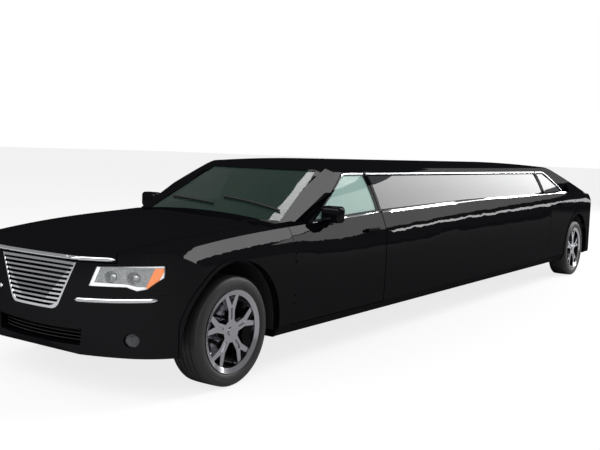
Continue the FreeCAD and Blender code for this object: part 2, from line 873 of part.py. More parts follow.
def door(lower_outline, upper_outline, window, front_y, end_y, hinge_x, hinge_y):
    """A whole door: lower wall, window frame, window hole, bevels and hinge barrels."""
    panel = lower_shell.common(side_prism(lower_outline(half_gap), belt_shelf_x, far))
    frame = green_shell.common(side_prism(upper_outline(half_gap), rail_x, far))
    whole = panel.fuse([frame]).cut([side_prism(window(0), rail_x / 2, far)])
    whole = whole.common(shut_zone(front_y + half_gap, end_y - half_gap, hinge_x))
    for z in hinge_heights():
        whole = whole.cut(hinge_notch(hinge_x, hinge_y, z))
        whole = whole.fuse([hinge_barrel(hinge_x, hinge_y, z)]).cut([hinge_bore(hinge_x, hinge_y, z)])
    return whole.removeSplitter()


handle_length = 180.0
handle_height = 26.0
handle_proud = 34.0
handle_back_offset = 150.0
handle_drop = 120.0


def handle(end_y):
    """A pull handle: a bar off the skin on two feet."""
    y = end_y - handle_back_offset
    z = edge_height_at(y) - handle_drop
    skin = wall_x(y - handle_length / 2, z)
    bar = block(skin + handle_proud / 2, skin + handle_proud, y - handle_length, y, z - handle_height / 2,
                z + handle_height / 2)
    bar = bar.makeFillet(handle_height / 5, bar.Edges)
    feet = [block(skin - handle_height, skin + 0.8 * handle_proud, y - share * handle_length - handle_height / 2,
                  y - share * handle_length + handle_height / 2, z - handle_height / 3, z + handle_height / 3)
            for share in (0.12, 0.88)]
    return bar.fuse(feet)


front_door = door(front_door_lower, front_door_upper, front_window, door_front_y, front_door_end_y,
                  front_hinge_x, front_hinge_y)
front_door = front_door.fuse([handle(front_door_end_y)])
rear_door = door(rear_door_lower, rear_door_upper, rear_window_side, rear_door_front_y, rear_door_end_y,
                 rear_hinge_x, rear_hinge_y).cut([quarter_bevel()])
rear_door = rear_door.fuse([handle(rear_door_front_y + 0.62 * rear_door_length)])


print("glass")
front_door_glass = pane_shell.common(side_prism(front_window(seat_gap), rail_x / 2, far))
rear_door_glass = pane_shell.common(side_prism(rear_window_side(seat_gap), rail_x / 2, far))
stretch_pane = pane_shell.common(side_prism(stretch_window(seat_gap), rail_x / 2, far))
lifted = lower_outer.copy()
lifted.translate(vec(0, 0, seat_gap))
windshield = pane_shell.common(front_prism(windshield_outline(seat_gap), windshield_base_y - windshield_rake,
                                           windshield_top_y + windshield_rake / 2))
rear_window = pane_shell.common(front_prism(backlight_outline(seat_gap), backlight_top_y - backlight_rake / 3,
                                            backlight_base_y + backlight_rake)).cut([lifted])


print("roof, bonnet, lid")
roof_zone = block(-rail_x + panel_seam, rail_x - panel_seam, -long, long, screen_top_height - roof_wall,
                  2 * overall_height)
roof_panel = green_shell.common(roof_zone).cut(screen_holes)

# The bonnet turns on two barrels under its rear edge, between ears on the cowl tray
hood_hinge_ahead = 60.0
hood_hinge_y = windshield_base_y - hood_hinge_ahead
hood_hinge_z = 985.0
hood_hinge_x = 600.0
hood_hinge_radius = 11.0
hood_pin_radius = 5.0
hood_arm_reach = 150.0
hood_arm_half = 20.0
tray_low = 900.0
tray_top = 930.0
hood_ear = 8.0
hood = lower_shell.common(hood_zone(half_gap))
hood_arms = []
hood_bores = []
hood_ears = []
for sign in (1, -1):
    x = sign * hood_hinge_x
    arm_low = hood_hinge_z - hood_hinge_radius
    hood_arms.append(block(x - hood_arm_half, x + hood_arm_half, hood_hinge_y - hood_arm_reach, hood_hinge_y,
                           arm_low, hood_hinge_z + 3 * hood_hinge_radius))
    hood_arms.append(rod((x - hood_arm_half, hood_hinge_y, hood_hinge_z),
                         (x + hood_arm_half, hood_hinge_y, hood_hinge_z), hood_hinge_radius))
    hood_bores.append(rod((x - 2 * hood_arm_half, hood_hinge_y, hood_hinge_z),
                          (x + 2 * hood_arm_half, hood_hinge_y, hood_hinge_z),
                          hood_pin_radius + hinge_pin_clearance))
    for side in (1, -1):
        inner = x + side * (hood_arm_half + hinge_ear_gap)
        outer = inner + side * hood_ear
        hood_ears.append(block(min(inner, outer), max(inner, outer), hood_hinge_y - hood_hinge_radius,
                               hood_hinge_y + hood_hinge_radius, tray_top - hood_ear,
                               hood_hinge_z + hood_hinge_radius))
    hood_ears.append(rod((x - hood_arm_half - hood_ear, hood_hinge_y, hood_hinge_z),
                         (x + hood_arm_half + hood_ear, hood_hinge_y, hood_hinge_z), hood_pin_radius))
dome = Part.makeLoft([dome_section(row) for row in body_stations()], True, False)
dome = dome.common(hood_zone(half_gap)).common(body_limits(0, 0))
hood = hood.fuse([dome] + hood_arms).cut(hood_bores).removeSplitter()

# The cowl: a tray behind the bonnet and the lower frame of the windshield
tray_half = floor_edge_x - panel_seam
riser_depth = 30.0
riser_y = windshield_base_y + riser_depth
screen_frame = green_shell.common(block(-screen_frame_half, screen_frame_half, -long, 0, green_front_low,
                                        screen_bottom_height))
cowl = [
    block(-tray_half, tray_half, door_front_y, riser_y + riser_depth, tray_low, tray_top),
    block(-screen_frame_half, screen_frame_half, riser_y, riser_y + riser_depth, tray_low,
          green_front_low + roof_wall / 3),
]
cowl_panel = cowl[0].fuse(cowl[1:] + [screen_frame] + hood_ears).removeSplitter()

# The boot lid turns on two barrels at its front edge, close under the deck
lid_hinge_depth = 12.0
lid_hinge_radius = 7.0
lid_pin_radius = 3.5
lid_hinge_x = 450.0
lid_hinge_half = 22.0
lid_hinge_y = lid_front_y + half_gap - lid_hinge_radius / 2
lid_hinge_z = deck_height(lid_hinge_x, lid_hinge_y) - lid_hinge_depth
print("lid hinge", lid_hinge_y, lid_hinge_z)
trunk_lid = lower_shell.common(lid_zone(half_gap, half_gap))
lid_parts = []
lid_cuts = []
lid_bores = []
lid_ears = []
for sign in (1, -1):
    x = sign * lid_hinge_x
    lid_parts.append(rod((x - lid_hinge_half, lid_hinge_y, lid_hinge_z), (x + lid_hinge_half, lid_hinge_y, lid_hinge_z),
                         lid_hinge_radius))
    lid_parts.append(block(x - lid_hinge_half, x + lid_hinge_half, lid_hinge_y, lid_hinge_y + 4 * lid_hinge_radius,
                           lid_hinge_z - lid_hinge_radius, lid_hinge_z))
    lid_bores.append(rod((x - 3 * lid_hinge_half, lid_hinge_y, lid_hinge_z),
                         (x + 3 * lid_hinge_half, lid_hinge_y, lid_hinge_z), lid_pin_radius + hinge_pin_clearance))
    for side in (1, -1):
        inner = x + side * lid_hinge_half
        ear_in = inner + side * hinge_ear_gap
        ear_out = ear_in + side * hood_ear
        room = ear_out + side * hinge_notch_margin
        lid_cuts.append(block(min(inner, room), max(inner, room), lid_hinge_y - 2 * lid_hinge_radius,
                              lid_hinge_y + lid_hinge_radius + hinge_notch_margin, 0, overall_height))
        lid_ears.append(block(min(ear_in, ear_out), max(ear_in, ear_out), lid_hinge_y - lid_front_gap - lid_wall,
                              lid_hinge_y + lid_hinge_radius, lid_hinge_z - 2 * lid_hinge_radius, lid_hinge_z))
        lid_ears.append(rod((min(ear_in, ear_out), lid_hinge_y, lid_hinge_z),
                            (max(ear_in, ear_out), lid_hinge_y, lid_hinge_z), lid_hinge_radius))
    lid_ears.append(rod((x - lid_hinge_half - hood_ear, lid_hinge_y, lid_hinge_z),
                        (x + lid_hinge_half + hood_ear, lid_hinge_y, lid_hinge_z), lid_pin_radius))
plate_recess_half = 270.0
plate_recess_low = 760.0
plate_recess_high = 900.0
plate_recess_depth = 14.0
plate_recess = block(-plate_recess_half, plate_recess_half, tail_y - 4 * plate_recess_depth - overrun, long,
                     plate_recess_low, plate_recess_high).cut([lower_body(0, 0, 0, plate_recess_depth)])
lid_cuts.append(plate_recess)
trunk_lid = trunk_lid.cut(lid_cuts).fuse(lid_parts).cut(lid_bores).removeSplitter()
left_ears = [ear for ear in lid_ears if ear.BoundBox.XMin > 0]
body_side = body_side.fuse(left_ears).removeSplitter()


print("fenders and bumpers")
hood_hole = hood_zone(-half_gap)
lamp_back_y = front_axle_y - lamp_back_offset
fender_inner_x = 0.64 * half_width


def fender_zone(gap):
    start = lamp_back_y - gap
    return side_prism([
        (door_front_y - half_gap, 0), (door_front_y - half_gap, overall_height), (start, overall_height),
        (start, lamp_base_height - gap), (front_seam_y - gap, lamp_base_height - gap), (front_seam_y - gap, 0)],
        fender_inner_x - gap, far)


lamp_hole = front_prism(lamp_outline(0), nose_y - overrun, front_axle_y - arch_radius)
fender = lower_shell.common(fender_zone(0)).cut([hood_hole, lamp_hole])
fender = fender.fuse([arch_lip(front_axle_y, front_seam_y, 0)]).removeSplitter()
nose_zone = block(-far, far, nose_y - overrun, front_seam_y + overrun, 0, overall_height)
grille_hole = front_prism(grille_outline(0), nose_y - overrun, nose_y + 4 * nose_wall)
intake_hole = front_prism([
    (intake_half_width, intake_bottom_height), (intake_half_width + intake_slant, intake_top_height),
    (-intake_half_width - intake_slant, intake_top_height), (-intake_half_width, intake_bottom_height)],
    nose_y - overrun, nose_y + 4 * nose_wall)
fog_room = rod((fog_lamp_x, nose_y - overrun, fog_lamp_height), (fog_lamp_x, front_seam_y, fog_lamp_height),
               fog_lamp_radius)
fog_body = rod((fog_lamp_x, nose_y - overrun, fog_lamp_height), (fog_lamp_x, front_seam_y, fog_lamp_height),
               fog_lamp_radius - seat_gap)
fog_lamp = fog_body.common(lower_body(0, 0, 0, fog_lamp_set_back)).cut([lower_inner])
side_room = fender_zone(panel_seam)
behind_seam = block(fender_inner_x - overrun, far, front_seam_y - panel_seam, long, 0, overall_height)
front_bumper = lower_shell.common(nose_zone).cut([
    side_room, mirrored(side_room), behind_seam, mirrored(behind_seam), hood_hole, lamp_hole, mirrored(lamp_hole),
    grille_hole, intake_hole, fog_room, mirrored(fog_room)])
rear_zone = block(-far, far, rear_seam_y + panel_seam, tail_y + overrun, 0, bumper_top_height - panel_seam)
rear_bumper = lower_shell.common(rear_zone)


def nose_skin_y(x, z):
    """Where the front face is at x and height z."""
    probe = block(x - seat_gap, x + seat_gap, -long, 0, z - seat_gap, z + seat_gap)
    return min(corner.Y for corner in lower_outer.common(probe).Vertexes)


# Each headlamp is a thin lens over a bowl with two round projectors
lens_thickness = 5.0
projector_inner_share = 0.600
projector_outer_share = 0.732
projector_height = 760.0
projector_radius = 38.0
projector_depth = 40.0
projector_bulb_radius = 26.0
lamp_solid = lower_shell.common(front_prism(lamp_outline(seat_gap), nose_y - overrun, lamp_back_y + overrun))
lens_seat = lens_thickness + seat_gap
headlamp_lens = lamp_solid.cut([lower_body(lens_thickness, lens_thickness, 0, lens_thickness)])
headlamp_lens = largest_solid(headlamp_lens)
headlamp_bowl = lamp_solid.common(lower_body(lens_seat, lens_seat, 0, lens_seat))
for share in (projector_inner_share, projector_outer_share):
    x = share * half_width
    back_y = nose_skin_y(x, projector_height) + projector_depth
    pocket = rod((x, nose_y - overrun, projector_height), (x, back_y, projector_height), projector_radius)
    bulb = Part.makeSphere(projector_bulb_radius, vec(x, back_y, projector_height))
    bulb = bulb.common(block(0, far, -long, back_y, 0, overall_height))
    headlamp_bowl = headlamp_bowl.cut([pocket]).fuse([bulb])
headlamp_bowl = largest_solid(headlamp_bowl.removeSplitter())
tail_lamp = lower_shell.common(front_prism(tail_lamp_outline(seat_gap), tail_y - tail_lamp_reach + seat_gap,
                                           tail_y + overrun))


print("grille")
grille_face = lower_body(0, 0, 0, seat_gap).cut(lower_body(0, 0, 0, grille_depth))
grille_room = front_prism(grille_outline(seat_gap), nose_y - overrun, nose_y + 2 * nose_wall)
grille_inside = front_prism(grille_outline(grille_frame), nose_y - overrun, nose_y + 2 * nose_wall)
grille_ring = grille_face.common(grille_room.cut(grille_inside))
bar_face = lower_body(0, 0, 0, grille_bar_set_back).cut(lower_body(0, 0, 0, grille_depth))
pitch = (grille_top_height - grille_bottom_height - grille_frame) / (grille_bars + 1)
bar_height = 0.42 * pitch
bars = []
for number in range(grille_bars):
    z = grille_bottom_height + grille_frame / 2 + (number + 1) * pitch
    bars.append(block(-half_width, half_width, nose_y - overrun, nose_y + 3 * nose_wall, z - bar_height / 2,
                      z + bar_height / 2))
grille_slats = bar_face.common(Part.makeCompound(bars)).common(grille_room)
grille = grille_ring.fuse(grille_slats.Solids).removeSplitter()


print("floor and frame")
tunnel_half = 165.0
tunnel_wall = 30.0
tunnel_height = 470.0
rail_inner_x = 360.0
rail_outer_x = 430.0
rail_low = 400.0
rail_top = 500.0
beam_back = 180.0
beam_y = nose_y + beam_back
beam_depth = 40.0
kick_half = 425.0
kick_reach = 385.0
kick_height = 520.0
kick_wall = 16.0
shelf_height = 1036.0
shelf_wall = 22.0
floor_top = sill_height + floor_wall
inner_half = floor_edge_x - panel_seam
plate_low = floor_top - floor_wall / 2
floor_plate = lower_shell.common(block(-inner_half, inner_half, door_front_y, rear_seam_y, 0, floor_top))
flat_plate = block(-inner_half, inner_half, door_front_y, bulkhead_y, plate_low, floor_top)
front_wall = block(-inner_half, inner_half, door_front_y, door_front_y + tunnel_wall, plate_low, tray_low - seat_gap)
tunnel = block(-tunnel_half, tunnel_half, door_front_y, bulkhead_y, plate_low, tunnel_height)
rear_wall = block(-inner_half, inner_half, bulkhead_y, bulkhead_y + tunnel_wall, plate_low, shelf_height - seat_gap)
tunnel_room = block(tunnel_wall - tunnel_half, tunnel_half - tunnel_wall, door_front_y - overrun,
                    bulkhead_y + overrun, 0, tunnel_height - tunnel_wall)
cabin_zone = block(-inner_half, inner_half, door_front_y, bulkhead_y + tunnel_wall, 0, overall_height)
floor_pan = floor_plate.fuse([flat_plate, front_wall, tunnel, rear_wall]).common(cabin_zone).cut([tunnel_room])
floor_pan = floor_pan.removeSplitter()
parcel_shelf = block(-inner_half, inner_half, bulkhead_y, backlight_base_y - 2 * nose_wall, shelf_height,
                     shelf_height + shelf_wall)

kick_front_y = rear_axle_y - kick_reach
kick_end_y = rear_axle_y + kick_reach
boot_start_y = bulkhead_y + tunnel_wall + seat_gap
half_shaft_radius = 20.0
kick_up = block(-kick_half - kick_wall / 2, kick_half + kick_wall / 2, kick_front_y, kick_end_y, plate_low,
                kick_height)
boot_cuts = [
    block(kick_wall / 2 - kick_half, kick_half - kick_wall / 2, kick_front_y + kick_wall, kick_end_y - kick_wall, 0,
          kick_height - kick_wall),
    block(tunnel_wall - tunnel_half, tunnel_half - tunnel_wall, boot_start_y - overrun, kick_front_y + 2 * kick_wall,
          0, tunnel_height - tunnel_wall),
    rod((-far, rear_axle_y, axle_height), (far, rear_axle_y, axle_height), 2.4 * half_shaft_radius),
]
boot_tunnel = block(-tunnel_half, tunnel_half, boot_start_y, kick_front_y + kick_wall, plate_low, tunnel_height)
boot_zone = block(-inner_half, inner_half, boot_start_y, rear_seam_y, 0, overall_height)
boot_floor = floor_plate.fuse([kick_up, boot_tunnel]).common(boot_zone).cut(boot_cuts).removeSplitter()

tower_half = 110.0
tower_outer_x = 500.0
upper_arm_rise = 155.0
upper_arm_low = axle_height + upper_arm_rise
arm_thickness = 20.0
brace_front_y = beam_y + 1.6 * beam_depth
brace_end_y = beam_y + 3.6 * beam_depth
brace_low = nose_bottom_height + nose_wall + seat_gap
brace_top = rail_low - beam_depth
beam_half_share = 0.54
beam_half = beam_half_share * half_width
frame_parts = [
    block(-beam_half, beam_half, beam_y, beam_y + beam_depth, rail_low, rail_top),
    block(-rail_outer_x, rail_outer_x, brace_front_y, brace_end_y, brace_low, brace_top),
]
for sign in (1, -1):
    low_x, high_x = sorted((sign * rail_inner_x, sign * rail_outer_x))
    frame_parts.append(block(low_x, high_x, beam_y + beam_depth / 2, door_front_y - seat_gap, rail_low, rail_top))
    frame_parts.append(block(low_x, high_x, brace_front_y, brace_end_y, brace_low, rail_top))
    low_x, high_x = sorted((sign * rail_inner_x, sign * tower_outer_x))
    frame_parts.append(block(low_x, high_x, front_axle_y - tower_half, front_axle_y + tower_half,
                             rail_top - rail_low / 8, upper_arm_low + 2 * arm_thickness))
front_frame = frame_parts[0].fuse(frame_parts[1:]).removeSplitter()


print("liners, engine, underside")
liner_wall = 5.0
liners = []
for axle_y in (front_axle_y, rear_axle_y):
    outer = rod((well_inner_x, axle_y, axle_height), (sill_width_share * half_width, axle_y, axle_height),
                arch_radius - seat_gap)
    inner = rod((well_inner_x - overrun, axle_y, axle_height), (far, axle_y, axle_height),
                arch_radius - seat_gap - liner_wall)
    liner = outer.cut([inner, block(0, far, -long, long, -long, axle_height - overrun)])
    liners.append(liner)
    liners.append(mirrored(liner))
arch_liners = Part.makeCompound(liners)

cross_low = 185.0
cross_top = 245.0
cross_half = 160.0
engine_half = 250.0
engine_low = 330.0
engine_top = 850.0
engine_ahead = 300.0
engine_behind = 420.0
engine_front_y = front_axle_y - engine_ahead
engine_back_y = front_axle_y + engine_behind
gearbox_half = 118.0
gearbox_low = 275.0
gearbox_top = 430.0
gearbox_back = 640.0
gearbox_back_y = door_front_y + gearbox_back
mount_rise = 40.0
mount_low = rail_low + mount_rise
engine_parts = [
    block(-engine_half, engine_half, engine_front_y, engine_back_y, engine_low, engine_top),
    block(-gearbox_half, gearbox_half, engine_back_y - overrun, gearbox_back_y, gearbox_low, gearbox_top),
    block(-rail_inner_x + seat_gap, rail_inner_x - seat_gap, front_axle_y - cross_half / 2,
          front_axle_y + cross_half / 2, mount_low, mount_low + overrun),
]
engine_block = engine_parts[0].fuse(engine_parts[1:]).removeSplitter()
radiator_half = 352.0
radiator_y = beam_y + 2 * beam_depth
radiator = block(-radiator_half, radiator_half, radiator_y, radiator_y + beam_depth, brace_top + seat_gap,
                 grille_top_height - overrun / 2)

kingpin_x = 700.0
knuckle_half_height = 150.0
knuckle_half_width = 35.0
knuckle_inner_x = 668.0
knuckle_outer_x = 716.0
arm_gap = 5.0
stud_radius = 12.0
stud_depth = 30.0
disc_radius = 165.0
disc_inner_x = 735.0
disc_thickness = 22.0
spindle_end_x = 800.0
spindle_end_room = 2.0
arm_tip = 22.0
caliper_bite = 6.0
caliper_cover = 24.0
bracket_bite = 10.0
rim_inner_radius = 240.0


def arm_plan(inner_x, inner_half, axle_y):
    tip = kingpin_x + arm_tip
    waist = 0.86 * kingpin_x
    return [(tip, axle_y - 0.8 * knuckle_half_width), (tip, axle_y + 0.8 * knuckle_half_width),
            (waist, axle_y + 1.2 * knuckle_half_width), (inner_x, axle_y + inner_half),
            (inner_x, axle_y - inner_half), (waist, axle_y - 1.2 * knuckle_half_width)]


lower_arm_top = axle_height - knuckle_half_height - arm_gap
lower_arm_low = lower_arm_top - arm_thickness
crossmember = block(-rail_outer_x, rail_outer_x, front_axle_y - cross_half, front_axle_y + cross_half, cross_low,
                    cross_top)
front_parts = []
upper_arms = []
for sign in (1, -1):
    lower_arm = plan_prism(arm_plan(rail_outer_x - overrun, cross_half - seat_gap, front_axle_y), lower_arm_low,
                           lower_arm_top)
    stud = Part.makeCylinder(stud_radius, arm_gap + stud_depth, vec(kingpin_x, front_axle_y, lower_arm_top))
    post = block(rail_inner_x, rail_outer_x, front_axle_y - overrun, front_axle_y + overrun, cross_top - arm_gap,
                 rail_low - seat_gap)
    upper_arm = plan_prism(arm_plan(tower_outer_x + seat_gap, tower_half, front_axle_y), upper_arm_low,
                           upper_arm_low + arm_thickness)
    upper_stud = Part.makeCylinder(stud_radius, arm_gap + stud_depth,
                                   vec(kingpin_x, front_axle_y, upper_arm_low - arm_gap - stud_depth))
    upper = upper_arm.fuse([upper_stud])
    group = [lower_arm, stud, post]
    if sign < 0:
        group = [mirrored(item) for item in group]
        upper = mirrored(upper)
    front_parts.extend(group)
    upper_arms.append(upper)
front_suspension = Part.makeCompound([crossmember.fuse(front_parts).removeSplitter()] + upper_arms)

spindle_radius = hub_bore_radius - spindle_clearance
bore_top = axle_height + knuckle_half_height


def knuckle(axle_y):
    """An upright with spindle, caliper and two ball joint sockets."""
    upright = block(knuckle_inner_x, knuckle_outer_x, axle_y - knuckle_half_width, axle_y + knuckle_half_width,
                    axle_height - knuckle_half_height, axle_height + knuckle_half_height)
    spindle = rod((kingpin_x, axle_y, axle_height), (spindle_end_x, axle_y, axle_height), spindle_radius)
    reach = 0.58 * disc_radius
    caliper = block(knuckle_outer_x - caliper_bite, disc_inner_x + disc_thickness + caliper_cover, axle_y + reach,
                    axle_y + reach + 0.58 * disc_radius, axle_height - 0.4 * disc_radius,
                    axle_height + 0.4 * disc_radius)
    slot = rod((disc_inner_x - arm_gap, axle_y, axle_height), (disc_inner_x + disc_thickness + arm_gap, axle_y,
                                                               axle_height), disc_radius + arm_gap)
    bracket = block(knuckle_inner_x + bracket_bite, knuckle_outer_x, axle_y + knuckle_half_width - bracket_bite,
                    axle_y + reach + 0.4 * disc_radius, axle_height - knuckle_half_width,
                    axle_height + knuckle_half_width)
    return upright.fuse([spindle, caliper.cut([slot]), bracket])


socket_radius = stud_radius + spindle_clearance
sockets = [
    Part.makeCylinder(socket_radius, stud_depth + spindle_clearance,
                      vec(kingpin_x, front_axle_y, axle_height - knuckle_half_height)),
    Part.makeCylinder(socket_radius, stud_depth + spindle_clearance,
                      vec(kingpin_x, front_axle_y, bore_top - stud_depth - spindle_clearance)),
]
front_knuckle = knuckle(front_axle_y).cut(sockets).removeSplitter()

diff_half = 130.0
diff_reach = 170.0
diff_low = 265.0
diff_top = 455.0
rear_parts = [
    block(-rail_outer_x + overrun, rail_outer_x - overrun, rear_axle_y - cross_half, rear_axle_y + cross_half, cross_low,
          cross_top),
    rod((-kingpin_x, rear_axle_y, axle_height), (kingpin_x, rear_axle_y, axle_height), half_shaft_radius),
    block(-diff_half, diff_half, rear_axle_y - diff_reach, rear_axle_y + diff_reach, cross_top - arm_gap, diff_top),
]
for sign in (1, -1):
    arm = plan_prism(arm_plan(rail_outer_x - 2 * overrun, cross_half - seat_gap, rear_axle_y), lower_arm_low,
                     lower_arm_top)
    stud = Part.makeCylinder(stud_radius, 3 * arm_gap, vec(kingpin_x, rear_axle_y, lower_arm_top - arm_gap))
    post = block(rail_inner_x - overrun, rail_outer_x - overrun, rear_axle_y - cross_half, rear_axle_y - cross_half / 2,
                 cross_top - arm_gap, kick_height - kick_wall - seat_gap)
    group = [arm, stud, post, knuckle(rear_axle_y)]
    if sign < 0:
        group = [mirrored(item) for item in group]
    rear_parts.extend(group)
rear_suspension = rear_parts[0].fuse(rear_parts[1:]).removeSplitter()

shaft_radius = 36.0
bearing_half = 24.0
shaft_start = gearbox_back_y + seat_gap
shaft_end = rear_axle_y - diff_reach - seat_gap
shaft = rod((0, shaft_start, axle_height), (0, shaft_end, axle_height), shaft_radius)
shaft_parts = []
for share in (0.25, 0.5, 0.75):
    y = shaft_start + share * (shaft_end - shaft_start)
    shaft_parts.append(block(-2 * bearing_half, 2 * bearing_half, y - bearing_half, y + bearing_half,
                             axle_height - shaft_radius - arm_gap, tunnel_height - tunnel_wall - seat_gap))
driveshaft = shaft.fuse(shaft_parts).removeSplitter()

exhaust_radius = 27.0
exhaust_x = 300.0
exhaust_low_z = 205.0
exhaust_over_z = 292.0
exhaust_tail_z = 215.0
exhaust_tail_x = 520.0
exhaust_points = [
    (exhaust_x, gearbox_back_y, exhaust_low_z),
    (exhaust_x, rear_axle_y - 1.7 * arch_radius, exhaust_low_z),
    (exhaust_tail_x, rear_axle_y - 0.90 * arch_radius, exhaust_low_z),
    (exhaust_tail_x, rear_axle_y - 0.55 * arch_radius, exhaust_over_z),
    (exhaust_tail_x, rear_axle_y + 0.55 * arch_radius, exhaust_over_z),
    (exhaust_tail_x, rear_axle_y + 0.90 * arch_radius, exhaust_tail_z),
    (exhaust_tail_x, tail_y - 2 * nose_wall, exhaust_tail_z),
]
exhaust_parts = []
for start, end in zip(exhaust_points, exhaust_points[1:]):
    exhaust_parts.append(rod(start, end, exhaust_radius))
for point in exhaust_points[1:-1]:
    exhaust_parts.append(Part.makeSphere(exhaust_radius, vec(*point)))
for share in (0.1, 0.4, 0.7, 0.95):
    first, last = exhaust_points[0], exhaust_points[1]
    y = first[1] + share * (last[1] - first[1])
    exhaust_parts.append(block(exhaust_x - arm_gap, exhaust_x + arm_gap, y - arm_gap, y + arm_gap, exhaust_low_z,
                               sill_height - seat_gap))
exhaust = exhaust_parts[0].fuse(exhaust_parts[1:]).removeSplitter()


print("wheels")
bead_radius = 254.0
lip_half = 117.0
bead_half = 104.0
tyre_seat = 0.3
bead_lip = 7.0
tread_half = 100.0
bulge_radius = 312.0


def spun(points, axle_y):
    """A ring turned about a wheel's axle from an outline of (x, radius) points."""
    corners = [vec(wheel_x + x, axle_y, axle_height + r) for x, r in points]
    face = Part.Face(Part.makePolygon(corners + corners[:1]))
    return face.revolve(vec(0, axle_y, axle_height), vec(1, 0, 0), 360)


def tyre(axle_y):
    half = tyre_width / 2
    radius = tyre_diameter / 2
    return spun([(-bead_half, bead_radius + tyre_seat), (-half, bulge_radius), (-tread_half, radius),
                 (tread_half, radius), (half, bulge_radius), (bead_half, bead_radius + tyre_seat)], axle_y)


spoke_count = 5
spoke_front = 96.0
spoke_thickness = 34.0
hub_radius = 74.0
cap_radius = 30.0
cap_height = 8.0
spoke_bite = 2.0
channel_depth = 9.0


def spoke_outline():
    """One forked spoke: (along, across) points from the hub out to the rim."""
    end = rim_inner_radius + spoke_bite
    return [
        (0.55 * hub_radius, -0.40 * hub_radius), (0.58 * end, -0.42 * hub_radius), (end, -0.98 * hub_radius),
        (end, -0.55 * hub_radius), (0.70 * end, 0.0), (end, 0.55 * hub_radius),
        (end, 0.98 * hub_radius), (0.58 * end, 0.42 * hub_radius), (0.55 * hub_radius, 0.40 * hub_radius)]


def channel_outline():
    """The groove down the middle of a spoke, which ends where the spoke forks."""
    end = rim_inner_radius + spoke_bite
    return [
        (1.05 * hub_radius, -0.10 * hub_radius), (0.62 * end, -0.17 * hub_radius), (0.66 * end, 0.0),
        (0.62 * end, 0.17 * hub_radius), (1.05 * hub_radius, 0.10 * hub_radius)]


def wheel_prism(outline, axle_y, x_from, x_to):
    """A prism along the axle from an outline of (along, across) points on an upright spoke."""
    corners = [vec(wheel_x + x_from, axle_y + across, axle_height + along) for along, across in outline]
    return Part.Face(Part.makePolygon(corners + corners[:1])).extrude(vec(x_to - x_from, 0, 0))


def rim(axle_y):
    """Barrel with lips, five forked spokes, hub with spindle bore, and the brake disc behind."""
    lip_radius = rim_lip_diameter / 2
    barrel = spun([(-bead_half - bead_lip, lip_radius), (-bead_half - seat_gap, bead_radius),
                   (bead_half + seat_gap, bead_radius), (bead_half + bead_lip, lip_radius), (lip_half, lip_radius), (bead_half, rim_inner_radius),
                   (-bead_half, rim_inner_radius)], axle_y)
    hub_in = disc_inner_x + disc_thickness / 2
    pieces = [rod((hub_in, axle_y, axle_height), (wheel_x + spoke_front, axle_y, axle_height), hub_radius),
              rod((disc_inner_x, axle_y, axle_height), (disc_inner_x + disc_thickness, axle_y, axle_height),
                  disc_radius),
              rod((wheel_x + spoke_front, axle_y, axle_height), (wheel_x + spoke_front + cap_height, axle_y, axle_height),
                  cap_radius)]
    for number in range(spoke_count):
        spoke = wheel_prism(spoke_outline(), axle_y, spoke_front - spoke_thickness, spoke_front)
        spoke = spoke.cut([wheel_prism(channel_outline(), axle_y, spoke_front - channel_depth, spoke_front + overrun)])
        spoke.rotate(vec(0, axle_y, axle_height), vec(1, 0, 0), 360.0 * number / spoke_count)
        pieces.append(spoke)
    bore = rod((disc_inner_x - overrun, axle_y, axle_height), (spindle_end_x + spindle_end_room, axle_y, axle_height),
               hub_bore_radius)
    return barrel.fuse(pieces).cut([bore]).removeSplitter()


print("cabin")
seat_base = floor_top + seat_gap
seat_top = 570.0
seat_height = 150.0
seat_depth = 540.0
seat_half = 243.0
seat_back_depth = 140.0
seat_back_lean = 40.0
seat_back_height = 560.0
headrest_height = 150.0
headrest_depth = 110.0
front_seat_offset = 700.0
cushion_edge = 40.0


def cushion(x_from, x_to, y_from, y_to, z_from, z_to):
    shape = block(x_from, x_to, y_from, y_to, z_from, z_to)
    return shape.makeFillet(cushion_edge, shape.Edges)


def front_seat(x):
    """A seat facing forward: plinth, cushion, back and headrest in one."""
    front = door_front_y + front_seat_offset
    back = front + seat_depth + seat_back_lean
    back_front = back - seat_back_depth
    back_top = seat_top + seat_back_height
    plinth = block(x - 0.6 * seat_half, x + 0.6 * seat_half, front + 2 * cushion_edge, back - 3 * cushion_edge,
                   seat_base, seat_top - seat_height / 2)
    base = cushion(x - seat_half, x + seat_half, front, front + seat_depth, seat_top - seat_height, seat_top)
    rest = cushion(x - seat_half, x + seat_half, back_front, back, seat_top - 0.8 * seat_height, back_top)
    head = cushion(x - seat_half / 2, x + seat_half / 2, back - headrest_depth, back, back_top - 0.4 * headrest_height,
                   back_top + headrest_height)
    return plinth.fuse([base, rest, head]).removeSplitter()


seat_x = 413.0
front_seats = both_sides(front_seat(seat_x))
bench_back_y = bulkhead_y - seat_gap
bench_depth = 640.0
bench_half = 740.0
bench_top = 610.0
bench_back_depth = 180.0
bench_back_top = 1030.0
side_back_depth = 150.0
side_back_top = 960.0
back_low = 490.0
lounge_inner = 300.0
lounge_offset = 620.0
lounge_gap = 520.0
lounge_start = front_door_end_y + lounge_offset
lounge_end = bench_back_y - lounge_gap
bench_front = bench_back_y - bench_depth
tunnel_clear = tunnel_height + arm_gap
bench = cushion(-bench_half, bench_half, bench_front, bench_back_y, tunnel_clear, bench_top)
bench_back = cushion(-bench_half, bench_half, bench_back_y - bench_back_depth, bench_back_y, back_low, bench_back_top)
side_bench = cushion(-bench_half, -lounge_inner, lounge_start, lounge_end, seat_base, bench_top)
side_back = cushion(-bench_half, side_back_depth - bench_half, lounge_start, lounge_end, back_low, side_back_top)
